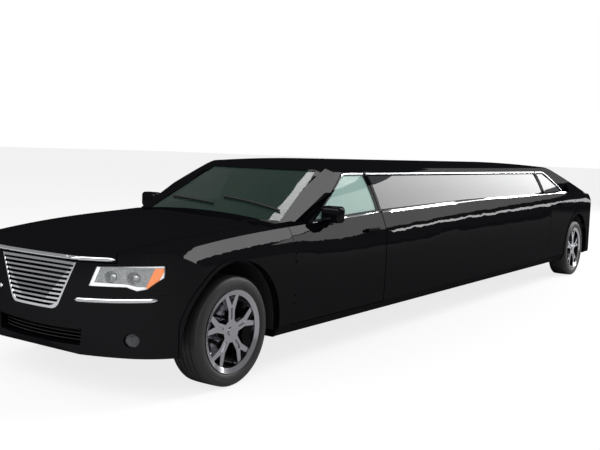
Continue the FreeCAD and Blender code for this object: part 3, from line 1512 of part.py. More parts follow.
bench_foot = block(-bench_half + overrun, -tunnel_half - arm_gap, bench_front + overrun, bench_back_y - overrun,
                   seat_base, tunnel_clear + overrun)
lounge_seat = bench.fuse([bench_back, side_bench, side_back, bench_foot, mirrored(bench_foot)]).removeSplitter()
bar_depth = 330.0
bar_length = 2000.0
bar_offset = 300.0
bar_top = 750.0
bar_start = lounge_start + bar_offset
bar_cabinet = block(bench_half - bar_depth, bench_half, bar_start, bar_start + bar_length, seat_base, bar_top)
partition_offset = 260.0
partition_thickness = 30.0
partition_margin = 40.0
partition_y = front_door_end_y + partition_offset
partition_end = partition_y + partition_thickness
partition_half = inner_half - partition_margin
partition_foot = block(tunnel_half + arm_gap, partition_half, partition_y, partition_end, seat_base,
                       tunnel_height + overrun)
partition_wall = block(-partition_half, partition_half, partition_y, partition_end, tunnel_height + seat_gap,
                       belt_seam_height - partition_margin)
partition = partition_wall.fuse([partition_foot, mirrored(partition_foot)]).removeSplitter()

dash_front_y = riser_y + riser_depth + seat_gap
dash_depth = 330.0
dash_low = 640.0
dash_front_top = 985.0
dash_hood_top = 1000.0
dash_back_top = 930.0
dashboard = side_prism([
    (dash_front_y, dash_low), (dash_front_y, dash_front_top), (dash_front_y + 0.4 * dash_depth, dash_hood_top),
    (dash_front_y + dash_depth, dash_back_top), (dash_front_y + 0.8 * dash_depth, dash_low)],
    -inner_half + arm_gap, inner_half - arm_gap)
wheel_radius = 188.0
wheel_rim = 15.0
wheel_reach = 130.0
wheel_height = 865.0
wheel_tilt_degrees = 24.0
column_length = 175.0
column_radius = 24.0
boss_radius = 62.0
boss_depth = 30.0
wheel_spoke_radius = 11.0
steer_y = dash_front_y + dash_depth + wheel_reach
tilt = math.radians(wheel_tilt_degrees)
axis = vec(0, math.cos(tilt), math.sin(tilt))
wheel_middle = vec(seat_x, steer_y, wheel_height)
ring = Part.makeTorus(wheel_radius, wheel_rim, wheel_middle, axis)
column = Part.makeCylinder(column_radius, column_length, wheel_middle - axis * column_length, axis)
boss = Part.makeCylinder(boss_radius, boss_depth, wheel_middle - axis * (boss_depth / 2), axis)
wheel_spoke = rod((seat_x - wheel_radius, steer_y, wheel_height), (seat_x + wheel_radius, steer_y, wheel_height),
                  wheel_spoke_radius)
steering_wheel = ring.fuse([column, boss, wheel_spoke]).cut([dashboard]).removeSplitter()

mirror_offset = 430.0
mirror_height = 1085.0
mirror_outer = 1028.0
mirror_length = 170.0
mirror_half_height = 62.0
mirror_depth = 100.0
mirror_edge = 28.0
mirror_foot_length = 75.0
mirror_foot_inner_share = 0.905
mirror_y = door_front_y + mirror_offset
mirror_skin = edge_height_at(mirror_y)
pod = block(mirror_outer - mirror_length, mirror_outer, mirror_y, mirror_y + mirror_depth,
            mirror_height - mirror_half_height, mirror_height + mirror_half_height)
pod = pod.makeFillet(mirror_edge, pod.Edges)
foot_x = mirror_foot_inner_share * half_width
foot = block(foot_x, foot_x + mirror_foot_length, mirror_y + mirror_depth / 4, mirror_y + 0.75 * mirror_depth,
             mirror_skin - 2 * door_bevel, mirror_height - mirror_half_height / 2)
door_mirror = pod.fuse([foot]).cut([front_door, green_outer, lifted])
door_mirror = largest_solid(door_mirror)

os.makedirs("parts", exist_ok=True)
print("writing")
front_tyre = tyre(front_axle_y)
front_rim = rim(front_axle_y)


def moved_back(shape, axle_y):
    return shape.translated(vec(0, axle_y - front_axle_y, 0))


for side, turn in (("left", lambda shape: shape), ("right", mirrored)):
    export("body_side_" + side, turn(body_side))
    export("front_fender_" + side, turn(fender))
    export("front_door_" + side, turn(front_door))
    export("rear_door_" + side, turn(rear_door))
    export("front_door_glass_" + side, turn(front_door_glass))
    export("rear_door_glass_" + side, turn(rear_door_glass))
    export("door_mirror_" + side, turn(door_mirror))
    export("knuckle_" + side, turn(front_knuckle))
    for end, axle_y in (("front", front_axle_y), ("rear", rear_axle_y)):
        export("tyre_" + end + "_" + side, moved_back(turn(front_tyre), axle_y))
        export("rim_" + end + "_" + side, moved_back(turn(front_rim), axle_y))
export("stretch_glass", both_sides(stretch_pane))
export("windshield", windshield)
export("rear_window", rear_window)
export("roof_panel", roof_panel)
export("hood", hood)
export("cowl_panel", cowl_panel)
export("trunk_lid", trunk_lid)
export("front_bumper", front_bumper)
export("rear_bumper", rear_bumper)
export("headlamp_lenses", both_sides(headlamp_lens))
export("headlamp_bowls", both_sides(headlamp_bowl))
export("fog_lamps", both_sides(fog_lamp))
export("tail_lamps", both_sides(tail_lamp))
export("grille", grille)
export("floor_pan", floor_pan)
export("boot_floor", boot_floor)
export("parcel_shelf", parcel_shelf)
export("front_frame", front_frame)
export("arch_liners", arch_liners)
export("engine_block", engine_block)
export("radiator", radiator)
export("front_suspension", front_suspension)
export("rear_suspension", rear_suspension)
export("driveshaft", driveshaft)
export("exhaust", exhaust)
export("front_seats", front_seats)
export("lounge_seat", lounge_seat)
export("bar_cabinet", bar_cabinet)
export("partition", partition)
export("dashboard", dashboard)
export("steering_wheel", steering_wheel)
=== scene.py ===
import json
import math
import bmesh
import bpy
import numpy
from mathutils import Matrix, Vector
from mathutils.bvhtree import BVHTree


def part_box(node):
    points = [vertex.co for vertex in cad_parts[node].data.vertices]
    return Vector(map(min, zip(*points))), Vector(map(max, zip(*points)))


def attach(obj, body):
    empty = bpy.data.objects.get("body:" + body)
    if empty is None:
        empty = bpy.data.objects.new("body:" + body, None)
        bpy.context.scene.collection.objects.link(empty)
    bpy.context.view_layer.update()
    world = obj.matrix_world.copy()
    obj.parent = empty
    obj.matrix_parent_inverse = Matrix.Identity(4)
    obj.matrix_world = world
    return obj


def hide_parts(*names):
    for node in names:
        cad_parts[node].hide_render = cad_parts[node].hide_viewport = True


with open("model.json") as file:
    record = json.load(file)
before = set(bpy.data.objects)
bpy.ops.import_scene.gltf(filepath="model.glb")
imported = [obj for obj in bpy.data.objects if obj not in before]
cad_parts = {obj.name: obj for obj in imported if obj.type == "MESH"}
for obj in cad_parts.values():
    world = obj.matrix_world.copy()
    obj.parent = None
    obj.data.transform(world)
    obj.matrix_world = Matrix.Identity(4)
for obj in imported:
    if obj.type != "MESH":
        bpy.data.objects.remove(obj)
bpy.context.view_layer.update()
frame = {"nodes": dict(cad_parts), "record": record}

scene = bpy.context.scene
nodes = frame["nodes"]
bodyOf = {node: body for body, members in frame["record"]["behaviour"]["bodies"].items() for node in members}
slotOf = {part["node"]: part["material_slot"] for part in frame["record"]["subparts"]}
sides = {"left": 1.0, "right": -1.0}
carSizes = {    # metres, as in the construction model
    "noseY": -4.6175,
    "noseRadius": 1.4232,
    "frontAxleY": -3.7475,
    "rearAxleY": 3.4955,
    "axleZ": 0.364,
    "wheelX": 0.8075,
}

cameraSettings = {
    "eye": (4.34812664, -7.98660600, 1.55998020),
    "azimuth": 0.604569512,
    "elevation": 0.0886234728,
    "roll": 0.0346725672,
    "lens": 50.838,
    "sensor": 36.0,
    "farEnd": 600.0,
}
stageSettings = {    # glow: what the camera adds to the floor; mirrored: what shiny pieces see
    "floorSize": 300.0,
    "floorColour": (0.80, 0.80, 0.80, 1.0),
    "floorGlow": 0.80,
    "floorMirrored": 0.50,
    "cloudScale": 0.6,
    "cloudShade": 0.985,
    "worldFill": 0.52,
    "worldSeen": 1.0,
    "worldMirrored": 0.30,
}
lampSettings = {    # name: place, aim, width, length, power
    "highSky": ((6.6, 9.2, 11.4), (0.9, -2.6, 0.9), 6.4, 8.0, 1750.0),
    "lowSky": ((5.5, 17.2, 7.3), (0.9, 0.0, 1.2), 15.0, 5.4, 1500.0),
    "shoulderLine": ((6.5, 17.5, 3.2), (0.9, 0.5, 1.0), 9.0, 0.5, 460.0),
    "screenGlow": ((-3.7, 0.8, 9.0), (0.6, -2.7, 1.1), 1.1, 1.6, 58.0),
    "noseBox": ((0.3, -8.4, 4.1), (0.4, -4.4, 0.6), 11.0, 4.2, 430.0),
}


def linkObject(name, mesh):    # the object of a mesh, lamp or camera, in the scene
    made = bpy.data.objects.new(name, mesh)
    scene.collection.objects.link(made)
    return made


def makeCamera(settings):    # looks along azimuth and elevation, tilted by roll
    az, el, roll = settings["azimuth"], settings["elevation"], settings["roll"]
    forward = Vector((-math.sin(az) * math.cos(el), math.cos(az) * math.cos(el), -math.sin(el)))
    right = forward.cross(Vector((0, 0, 1))).normalized()
    up = right.cross(forward)
    tiltedRight = math.cos(roll) * right + math.sin(roll) * up
    tiltedUp = -math.sin(roll) * right + math.cos(roll) * up
    data = bpy.data.cameras.new("camera")
    data.sensor_width = settings["sensor"]
    data.lens = settings["lens"]
    data.clip_end = settings["farEnd"]
    camera = linkObject("camera", data)
    turn = Matrix((tiltedRight, tiltedUp, -forward)).transposed().to_4x4()
    camera.matrix_world = Matrix.Translation(Vector(settings["eye"])) @ turn
    scene.camera = camera


class Wave:    # a socket of a node tree that takes part in plain sums

    def __init__(self, tree, socket):
        self.tree = tree
        self.socket = socket

    def node(self, kind, settings=None, inputs=None, output=0):
        made = self.tree.nodes.new(kind)
        for key, value in (settings or {}).items():
            setattr(made, key, value)
        for key, value in (inputs or {}).items():
            target = made.inputs[key]
            if isinstance(value, Wave):
                self.tree.links.new(value.socket, target)
            else:
                target.default_value = value
        return Wave(self.tree, made.outputs[output])

    def sum(self, operation, *values):
        return self.node("ShaderNodeMath", {"operation": operation}, dict(enumerate(values)))

    def __add__(self, other):
        return self.sum("ADD", self, other)

    __radd__ = __add__

    def __mul__(self, other):
        return self.sum("MULTIPLY", self, other)

    __rmul__ = __mul__

    def __sub__(self, other):
        return self.sum("SUBTRACT", self, other)

    def __rsub__(self, other):
        return self.sum("SUBTRACT", other, self)

    def __truediv__(self, other):
        return self.sum("DIVIDE", self, other)

    def __gt__(self, other):
        return self.sum("GREATER_THAN", self, other)

    def __lt__(self, other):
        return self.sum("LESS_THAN", self, other)

    def absolute(self):
        return self.sum("ABSOLUTE", self)

    def clamp(self, low=0.0, high=1.0):
        return self.node("ShaderNodeClamp", None, {"Value": self, "Min": low, "Max": high})

    def mixColour(self, first, second):
        return self.node("ShaderNodeMix", {"data_type": "RGBA"}, {0: self, 6: first, 7: second}, 2)

    def axis(self, letter):
        return self.node("ShaderNodeSeparateXYZ", None, {0: self}, "XYZ".index(letter))


def newMaterial(name, constants):    # a material, its object coordinates and its shader
    material = bpy.data.materials.new(name)
    material.use_nodes = True
    tree = material.node_tree
    shader = tree.nodes["Principled BSDF"]
    for key, value in constants.items():
        shader.inputs[key].default_value = value
    place = Wave(tree, tree.nodes.new("ShaderNodeTexCoord").outputs["Object"])
    return material, place, shader


def feed(shader, socket, value):
    value.tree.links.new(value.socket, shader.inputs[socket])


def noiseAt(place, scale, detail=3.0, roughness=0.5):
    inputs = {"Vector": place, "Scale": scale, "Detail": detail, "Roughness": roughness}
    return place.node("ShaderNodeTexNoise", None, inputs)


def stretched(place, scale):
    return place.node("ShaderNodeMapping", None, {"Vector": place, "Scale": scale})


def bumpFrom(height, strength, distance):
    inputs = {"Height": height, "Strength": strength, "Distance": distance}
    return height.node("ShaderNodeBump", None, inputs)


def shade(colour, factor):
    return tuple(factor * part for part in colour[:3]) + (1.0,)


paintSettings = {
    "deep": (0.0010, 0.0010, 0.0016, 1),
    "dusty": (0.0026, 0.0026, 0.0034, 1),
    "dustScale": 2.3,
    "flakeScale": 900.0,
    "coatIor": 1.5,
    "coatRough": 0.015,
    "mirrored": 0.0135,
    "dustLoss": 0.003,
    "mostCoat": 0.45,
}


def paintMaterial(settings):    # nearly black base under a clear coat that mirrors the same at every angle
    material, place, shader = newMaterial("blackPaint", {
        "Specular IOR Level": 0.0, "Coat Roughness": settings["coatRough"], "Coat IOR": settings["coatIor"]})
    dust = noiseAt(place, settings["dustScale"], 5.0, 0.6)
    flake = noiseAt(place, settings["flakeScale"], 1.0)
    feed(shader, "Base Color", (dust * 0.7 + flake * 0.3).mixColour(settings["deep"], settings["dusty"]))
    feed(shader, "Roughness", dust * 0.1 + 0.35)
    mirror = place.node("ShaderNodeFresnel", None, {"IOR": settings["coatIor"]})
    coat = (settings["mirrored"] - dust * settings["dustLoss"]) / mirror
    feed(shader, "Coat Weight", coat.clamp(0.0, settings["mostCoat"]))
    return material


def chromeMaterial(name, colour, rough):
    material, place, shader = newMaterial(name, {"Metallic": 1.0})
    haze = noiseAt(place, 14.0, 4.0)
    feed(shader, "Base Color", haze.mixColour(colour, shade(colour, 0.92)))
    feed(shader, "Roughness", haze * 0.06 + rough)
    return material


def rubberMaterial():
    material, place, shader = newMaterial("tyreRubber", {"Specular IOR Level": 0.25})
    grain = noiseAt(place, 260.0, 3.0)
    dust = noiseAt(place, 9.0, 4.0)
    feed(shader, "Base Color", dust.mixColour((0.012, 0.012, 0.013, 1), (0.026, 0.026, 0.026, 1)))
    feed(shader, "Roughness", dust * 0.2 + 0.5)
    feed(shader, "Normal", bumpFrom(grain, 0.15, 0.0006))
    return material


def glassMaterial(name, thin, thick, alpha, level):
    material, place, shader = newMaterial(name, {"Specular IOR Level": level, "IOR": 1.5})
    film = noiseAt(place, 2.1, 3.0)
    feed(shader, "Base Color", film.mixColour(thin + (1,), thick + (1,)))
    feed(shader, "Roughness", film * 0.02 + 0.008)
    feed(shader, "Alpha", film * 0.05 + alpha)
    return material


def tailLensMaterial():
    material, place, shader = newMaterial("tailLens", {"IOR": 1.5, "Roughness": 0.06})
    ribs = place.node("ShaderNodeTexWave", {"bands_direction": "Z"}, {"Vector": place, "Scale": 38.0}, 1)
    feed(shader, "Base Color", ribs.mixColour((0.26, 0.003, 0.005, 1), (0.48, 0.010, 0.012, 1)))
    feed(shader, "Alpha", ribs * 0.04 + 0.9)
    return material


lampSizes = {    # metres: where the amber block and the white edge lie on the bowl
    "amberSlant": 0.33,
    "amberOut": (0.755, 0.797),
    "amberHigh": (0.700, 0.822),
    "innerCorner": (0.4375, 0.699),
    "innerFacing": (0.925, 0.380),
    "innerEdge": 0.020,
    "footZ": 0.7055,
    "footStepX": 0.66,
    "footSlope": 0.22,
    "footStep": 0.013,
    "footEdge": 0.016,
    "topEdgeZ": 0.826,
}


def lampBowlMaterial(sizes):    # vapour silver with a white edge and an amber reflector at the outer end
    material, place, shader = newMaterial("lampSilver", {})
    across, high = place.axis("X").absolute(), place.axis("Z")
    start, end = sizes["amberOut"]
    low, top = sizes["amberHigh"]
    cornerX, cornerZ = sizes["innerCorner"]
    facingX, facingZ = sizes["innerFacing"]
    out = across - (high - 0.70) * sizes["amberSlant"]
    amber = (out > start) * (out < end) * (high > low) * (high < top)
    inner = (across - cornerX) * facingX - (high - cornerZ) * facingZ
    drop = ((across - sizes["footStepX"]) * sizes["footSlope"]).clamp(0.0, sizes["footStep"])
    foot = high - sizes["footZ"] + drop
    edges = (inner < sizes["innerEdge"]) + (foot < sizes["footEdge"])
    edges = edges + (out > end) + (high > sizes["topEdgeZ"])
    white = edges.clamp() * (1.0 - amber)
    haze = noiseAt(place, 55.0, 3.0)
    silver = haze.mixColour((0.16, 0.17, 0.17, 1), (0.50, 0.51, 0.51, 1))
    pale = white.mixColour(silver, (0.86, 0.87, 0.88, 1))
    feed(shader, "Base Color", amber.mixColour(pale, (0.85, 0.20, 0.004, 1)))
    feed(shader, "Metallic", (1.0 - amber - white) * 0.85)
    feed(shader, "Roughness", haze * 0.15 + 0.12)
    ribs = place.node("ShaderNodeTexWave", {"bands_direction": "X"}, {"Vector": place, "Scale": 22.0}, 1)
    feed(shader, "Normal", bumpFrom(ribs, 0.3, 0.004))
    return material


def grainyMaterial(name, dark, light, rough, scale, bump, metallic, level):
    material, place, shader = newMaterial(name, {"Metallic": metallic, "Specular IOR Level": level})
    patch = noiseAt(place, scale * 0.07, 4.0)
    grain = noiseAt(place, scale, 3.0)
    feed(shader, "Base Color", patch.mixColour(dark + (1,), light + (1,)))
    feed(shader, "Roughness", patch * 0.18 + rough)
    feed(shader, "Normal", bumpFrom(grain, 0.25, bump))
    return material


def leatherMaterial():
    material, place, shader = newMaterial("seatLeather", {"Specular IOR Level": 0.4})
    cells = place.node("ShaderNodeTexVoronoi", {"feature": "DISTANCE_TO_EDGE"},
                       {"Vector": place, "Scale": 260.0})
    wear = noiseAt(place, 5.0, 4.0)
    feed(shader, "Base Color", wear.mixColour((0.017, 0.016, 0.016, 1), (0.034, 0.032, 0.031, 1)))
    feed(shader, "Roughness", wear * 0.18 + 0.38)
    feed(shader, "Normal", bumpFrom(cells, 0.35, 0.0006))
    return material


def woodMaterial():
    material, place, shader = newMaterial("lacqueredWood", {"Coat Weight": 0.7, "Coat Roughness": 0.08})
    along = stretched(place, (1.0, 0.15, 1.0))
    rings = place.node("ShaderNodeTexWave", {"wave_type": "BANDS", "bands_direction": "Z"},
                       {"Vector": along, "Scale": 9.0, "Distortion": 7.0, "Detail": 4.0}, 1)
    feed(shader, "Base Color", rings.mixColour((0.055, 0.018, 0.008, 1), (0.16, 0.065, 0.028, 1)))
    feed(shader, "Roughness", rings * 0.1 + 0.3)
    return material


materials = {
    "body_paint": paintMaterial(paintSettings),
    "chrome": chromeMaterial("trimChrome", (0.80, 0.81, 0.84, 1), 0.05),
    "wheel_chrome": chromeMaterial("wheelChrome", (0.46, 0.46, 0.49, 1), 0.10),
    "tyre": rubberMaterial(),
    "lamp_silver": lampBowlMaterial(lampSizes),
    "tail_glass": tailLensMaterial(),
    "seat_leather": leatherMaterial(),
    "trim_wood": woodMaterial(),
}
glassTints = {    # thin place, thick place, alpha, specular level
    "clear_glass": ((0.055, 0.115, 0.090), (0.075, 0.140, 0.110), 0.42, 0.30),
    # door glass: its pale mint base colour under a low specular level is a painted reflection of bright sky,
    # not the glass's own tint
    "door_glass": ((0.27, 0.40, 0.36), (0.31, 0.44, 0.40), 0.70, 0.06),
    "screen_glass": ((0.010, 0.024, 0.018), (0.016, 0.034, 0.026), 0.68, 0.16),
    "dark_glass": ((0.016, 0.017, 0.019), (0.026, 0.027, 0.030), 0.93, 0.19),
    "lamp_glass": ((0.80, 0.83, 0.85), (0.70, 0.73, 0.76), 0.035, 0.5),
}
grainyFinishes = {    # dark patch, light patch, roughness, grain scale, grain depth, metallic, specular level
    "black_plastic": ((0.008, 0.008, 0.009), (0.016, 0.016, 0.017), 0.42, 340.0, 0.0003, 0.0, 0.3),
    "underbody": ((0.010, 0.010, 0.010), (0.024, 0.023, 0.022), 0.6, 90.0, 0.0006, 0.0, 0.2),
    "cast_metal": ((0.045, 0.044, 0.043), (0.10, 0.095, 0.09), 0.55, 160.0, 0.0008, 0.7, 0.5),
    "bare_metal": ((0.30, 0.31, 0.32), (0.42, 0.43, 0.44), 0.28, 200.0, 0.0002, 1.0, 0.5),
    "pipe_metal": ((0.20, 0.19, 0.18), (0.36, 0.35, 0.33), 0.35, 120.0, 0.0003, 1.0, 0.5),
    "lining": ((0.016, 0.016, 0.017), (0.028, 0.027, 0.027), 0.7, 480.0, 0.0006, 0.0, 0.2),
}
for name, values in glassTints.items():
    materials[name] = glassMaterial(name, *values)
for name, values in grainyFinishes.items():
    materials[name] = grainyMaterial(name, *values)
print("materials ready")


def makeStage(settings, lamps):
    world = bpy.data.worlds.new("studio")
    scene.world = world
    world.use_nodes = True
    tree = world.node_tree
    sky = tree.nodes["Background"]
    path = tree.nodes.new("ShaderNodeLightPath")
    looked, through, mirrored = [Wave(tree, path.outputs["Is " + kind + " Ray"])
                                 for kind in ("Camera", "Transmission", "Glossy")]
    fill = settings["worldFill"]
    shown = (looked + through).clamp()
    strength = shown * (settings["worldSeen"] - fill) + fill
    strength = strength + (1.0 - shown) * mirrored * (settings["worldMirrored"] - fill)
    sky.inputs["Color"].default_value = (1.0, 1.0, 1.0, 1.0)
    tree.links.new(strength.socket, sky.inputs["Strength"])
    half = settings["floorSize"] / 2
    mesh = bpy.data.meshes.new("floor")
    corners = [(-half, -half, 0), (half, -half, 0), (half, half, 0), (-half, half, 0)]
    mesh.from_pydata(corners, [], [(0, 1, 2, 3)])
    floor = linkObject("floor", mesh)
    material, place, shader = newMaterial("paleFloor", {"Roughness": 0.9, "Specular IOR Level": 0.0})
    cloud = noiseAt(place, settings["cloudScale"], 2.0)
    pale = cloud.mixColour(settings["floorColour"], shade(settings["floorColour"], settings["cloudShade"]))
    tree = material.node_tree
    path = tree.nodes.new("ShaderNodeLightPath")
    # shiny pieces see the floor in a darker colour than the camera does: a painted dark ground in their
    # reflections
    dim = shade(settings["floorColour"], settings["floorMirrored"])
    feed(shader, "Base Color", Wave(tree, path.outputs["Is Glossy Ray"]).mixColour(pale, dim))
    looked = Wave(tree, path.outputs["Is Camera Ray"]) * settings["floorGlow"]
    glow = looked.node("ShaderNodeEmission", None, {"Color": (1, 1, 1, 1), "Strength": 1.0})
    both = looked.node("ShaderNodeMixShader", None, {0: looked, 1: Wave(tree, shader.outputs[0]), 2: glow})
    tree.links.new(both.socket, tree.nodes["Material Output"].inputs["Surface"])
    mesh.materials.append(material)
    for name, (where, aim, width, length, power) in lamps.items():
        data = bpy.data.lights.new(name, "AREA")
        data.shape = "RECTANGLE"
        data.size = width
        data.size_y = length
        data.energy = power
        lamp = linkObject(name, data)
        lamp.visible_camera = False
        back = (Vector(where) - Vector(aim)).normalized()
        across = Vector((1, 0, 0)) if abs(back.y) > 0.5 else Vector((0, 1, 0)).cross(back).normalized()
        across = (across - across.dot(back) * back).normalized()
        turn = Matrix((across, back.cross(across), back)).transposed().to_4x4()
        lamp.matrix_world = Matrix.Translation(Vector(where)) @ turn
    scene.view_settings.view_transform = "Standard"


makeCamera(cameraSettings)
makeStage(stageSettings, lampSettings)
for node, shown in nodes.items():
    shown.data.materials.clear()
    shown.data.materials.append(materials[slotOf[node]])
print("stage and frame ready")

skinSettings = {    # rounds of evening; the leasts keep short edges and cross edges from ruling it
    "sharpAngle": math.radians(9.0),
    "rounds": 24,
    "longRounds": 160,
    "leastLength": 0.004,
    "leastAlong": 0.01,
    "merge": 2e-5,
    "cutMerge": 1e-6,
    "rimSteps": (0.3, 0.3, 0.3),
}


def denseMesh(node, steps):    # a merged copy of a node's mesh, cut by evenly spaced planes
    mesh = bmesh.new()
    mesh.from_mesh(nodes[node].data)
    bmesh.ops.remove_doubles(mesh, verts=mesh.verts, dist=skinSettings["merge"])
    low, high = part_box(node)
    for axis in range(3):
        count = int((high[axis] - low[axis]) / steps[axis])
        normal = Vector((0, 0, 0))
        normal[axis] = 1.0
        for number in range(1, count + 1):
            spot = Vector(low)
            spot[axis] = low[axis] + number * (high[axis] - low[axis]) / (count + 1)
            everything = mesh.verts[:] + mesh.edges[:] + mesh.faces[:]
            bmesh.ops.bisect_plane(mesh, geom=everything, plane_co=spot, plane_no=normal,
                                   dist=skinSettings["cutMerge"])
    bmesh.ops.triangulate(mesh, faces=[face for face in mesh.faces if len(face.verts) > 4])
    return mesh


def evenedNormals(mesh, sharpAngle, rounds, lengthwise):    # averaged over each smooth area, apart at creases
    work = mesh.copy()
    work.normal_update()
    sharp = [edge for edge in work.edges
             if len(edge.link_faces) != 2 or edge.calc_face_angle(0.0) > sharpAngle]
    bmesh.ops.split_edges(work, edges=sharp)
    work.verts.index_update()
    work.normal_update()
    corners = [loop.vert.index for face in work.faces for loop in face.loops]
    normals = numpy.array([vert.normal for vert in work.verts])
    edges = numpy.array([[edge.verts[0].index, edge.verts[1].index] for edge in work.edges])
    runs = numpy.array([edge.verts[1].co - edge.verts[0].co for edge in work.edges])
    work.free()
    lengths = numpy.maximum(numpy.linalg.norm(runs, axis=1), skinSettings["leastLength"])
    weights = 1.0 / lengths
    if lengthwise:
        weights = weights * ((numpy.abs(runs[:, 1]) / lengths) ** 6 + skinSettings["leastAlong"])
    total = numpy.zeros(len(normals))
    for end in (0, 1):
        numpy.add.at(total, edges[:, end], weights)
    total = numpy.maximum(total, 1e-9)[:, None]
    for _ in range(rounds):
        gathered = numpy.zeros_like(normals)
        for near, far in ((0, 1), (1, 0)):
            numpy.add.at(gathered, edges[:, near], normals[edges[:, far]] * weights[:, None])
        normals = 0.5 * normals + 0.5 * gathered / total
        normals /= numpy.maximum(numpy.linalg.norm(normals, axis=1), 1e-9)[:, None]
    return normals[corners]


def skinPanel(node, name, steps, material=None, lengthwise=False):    # shown in the node's place
    mesh = denseMesh(node, steps)
    rounds = skinSettings["longRounds" if lengthwise else "rounds"]
    normals = evenedNormals(mesh, skinSettings["sharpAngle"], rounds, lengthwise)
    data = bpy.data.meshes.new(name)
    mesh.to_mesh(data)
    mesh.free()
    data.polygons.foreach_set("use_smooth", [True] * len(data.polygons))
    data.normals_split_custom_set([tuple(normal) for normal in normals])
    data.materials.append(materials[material or slotOf[node]])
    piece = linkObject(name, data)
    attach(piece, bodyOf[node])
    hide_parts(node)


paneSteps = (0.1, 0.1, 0.06)
sideSkins = [    # node stem, shown name, steps of the cuts, normals evened along the car
    ("front_fender", "fenderSkin", (0.08, 0.05, 0.05), False),
    ("front_door", "frontDoorSkin", (0.10, 0.10, 0.06), True),
    ("rear_door", "rearDoorSkin", (0.10, 0.10, 0.06), True),
    ("body_side", "bodySideSkin", (0.10, 0.12, 0.06), True),
    ("door_mirror", "mirrorSkin", (0.05, 0.05, 0.05), False),
]
singleSkins = [
    ("hood", "hoodSkin", (0.06, 0.06, 0.06), False),
    ("roof_panel", "roofSkin", (0.10, 0.12, 0.06), True),
    ("trunk_lid", "trunkLidSkin", (0.08, 0.08, 0.06), False),
    ("front_bumper", "frontBumperSkin", (0.06, 0.06, 0.05), False),
    ("rear_bumper", "rearBumperSkin", (0.08, 0.08, 0.06), False),
    ("stretch_glass", "stretchGlassSkin", (0.30, 0.20, 0.06), True),
    ("windshield", "windshieldSkin", (0.08, 0.08, 0.08), False),
    ("rear_window", "rearWindowSkin", (0.08, 0.08, 0.08), False),
]
for side in sides:
    for stem, name, steps, lengthwise in sideSkins:
        skinPanel(stem + "_" + side, name + side.title(), steps, None, lengthwise)
    # the front door panes take the pale door glass, whose colour is a painted sky reflection
    skinPanel("front_door_glass_" + side, "frontDoorPane" + side.title(), paneSteps, "door_glass")
    skinPanel("rear_door_glass_" + side, "rearDoorPane" + side.title(), paneSteps)
for stem, name, steps, lengthwise in singleSkins:
    skinPanel(stem, name, steps, "screen_glass" if stem == "windshield" else None, lengthwise)
print("panels skinned")


def makePiece(name, mesh, body, slot, material=None, angle=40.0, stands=None):    # stands: nodes replaced
    bmesh.ops.remove_doubles(mesh, verts=mesh.verts, dist=1e-5)
    bmesh.ops.recalc_face_normals(mesh, faces=mesh.faces)
    data = bpy.data.meshes.new(name)
    mesh.to_mesh(data)
    mesh.free()
    data.polygons.foreach_set("use_smooth", [True] * len(data.polygons))
    data.set_sharp_from_angle(angle=math.radians(angle))
    data.materials.append(materials[material or slot])
    piece = linkObject(name, data)
    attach(piece, body)
    if stands:
        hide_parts(*stands)
    return piece


outside = {"x": 3.0, "y": 8.0, "z": 4.0}    # metres, where the rays that seek a surface start


def surfaceOf(name):    # what rays land on
    data = nodes[name].data
    places = [vert.co.copy() for vert in data.vertices]
    return BVHTree.FromPolygons(places, [list(face.vertices) for face in data.polygons])


def evenLine(marks, spacing):    # a rounded line through marks, at even steps
    marks = [Vector(mark) for mark in marks]
    line = []
    for number in range(len(marks) - 1):
        first, last = marks[number], marks[number + 1]
        before = marks[number - 1] if number else first * 2 - last
        after = marks[number + 2] if number + 2 < len(marks) else last * 2 - first
        count = max(int((last - first).length / spacing), 1)
        for step in range(count):
            t = step / count
            bend = 2 * before - 5 * first + 4 * last - after
            twist = 3 * first - before - 3 * last + after
            line.append(0.5 * ((2 * first) + (last - before) * t + bend * t * t + twist * t ** 3))
    return line + [marks[-1]]


def sidePath(surface, marks, spacing, turn):    # marks are (y, z)
    path = []
    for spot in evenLine([(0.0, mark[0], mark[1]) for mark in marks], spacing):
        start = Vector((turn * outside["x"], spot.y, spot.z))
        place, normal, _, _ = surface.ray_cast(start, Vector((-turn, 0, 0)))
        if place:
            path.append((place, normal if normal.x * turn > 0 else -normal))
    return path


def frontPath(surface, marks, spacing, turn=1.0):    # marks are (x, z)
    path = []
    for spot in evenLine([(turn * mark[0], 0.0, mark[1]) for mark in marks], spacing):
        start = Vector((spot.x, -outside["y"], spot.z))
        place, normal, _, _ = surface.ray_cast(start, Vector((0, 1, 0)))
        if place:
            path.append((place, normal if normal.y < 0 else -normal))
    return path


def topPath(surface, marks, spacing):    # marks are (x, y)
    path = []
    for spot in evenLine([(mark[0], mark[1], 0.0) for mark in marks], spacing):
        start = Vector((spot.x, spot.y, outside["z"]))
        place, normal, _, _ = surface.ray_cast(start, Vector((0, 0, -1)))
        if place:
            path.append((place, normal if normal.z > 0 else -normal))
    return path


def addSweep(mesh, path, profile, taper=0):    # a profile of (across, out) along a path of places and normals
    if len(path) < 2:
        return
    rings = []
    count = len(path)
    for number, (place, normal) in enumerate(path):
        before = path[number - 1][0] if number else place
        after = path[number + 1][0] if number < count - 1 else place
        tangent = (after - before).normalized()
        out = (normal - normal.dot(tangent) * tangent).normalized()
        across = tangent.cross(out)
        size = 1.0
        if taper:
            near = min(number, count - 1 - number) / taper
            size = math.sqrt(max(1.0 - (1.0 - min(near, 1.0)) ** 2, 0.02))
        rise = max(size, 0.5)
        rings.append([mesh.verts.new(place + across * u * size + out * w * rise) for u, w in profile])
    for first, second in zip(rings, rings[1:]):
        for k in range(len(profile)):
            mesh.faces.new((first[k - 1], first[k], second[k], second[k - 1]))
    mesh.faces.new(rings[0][::-1])
    mesh.faces.new(rings[-1])


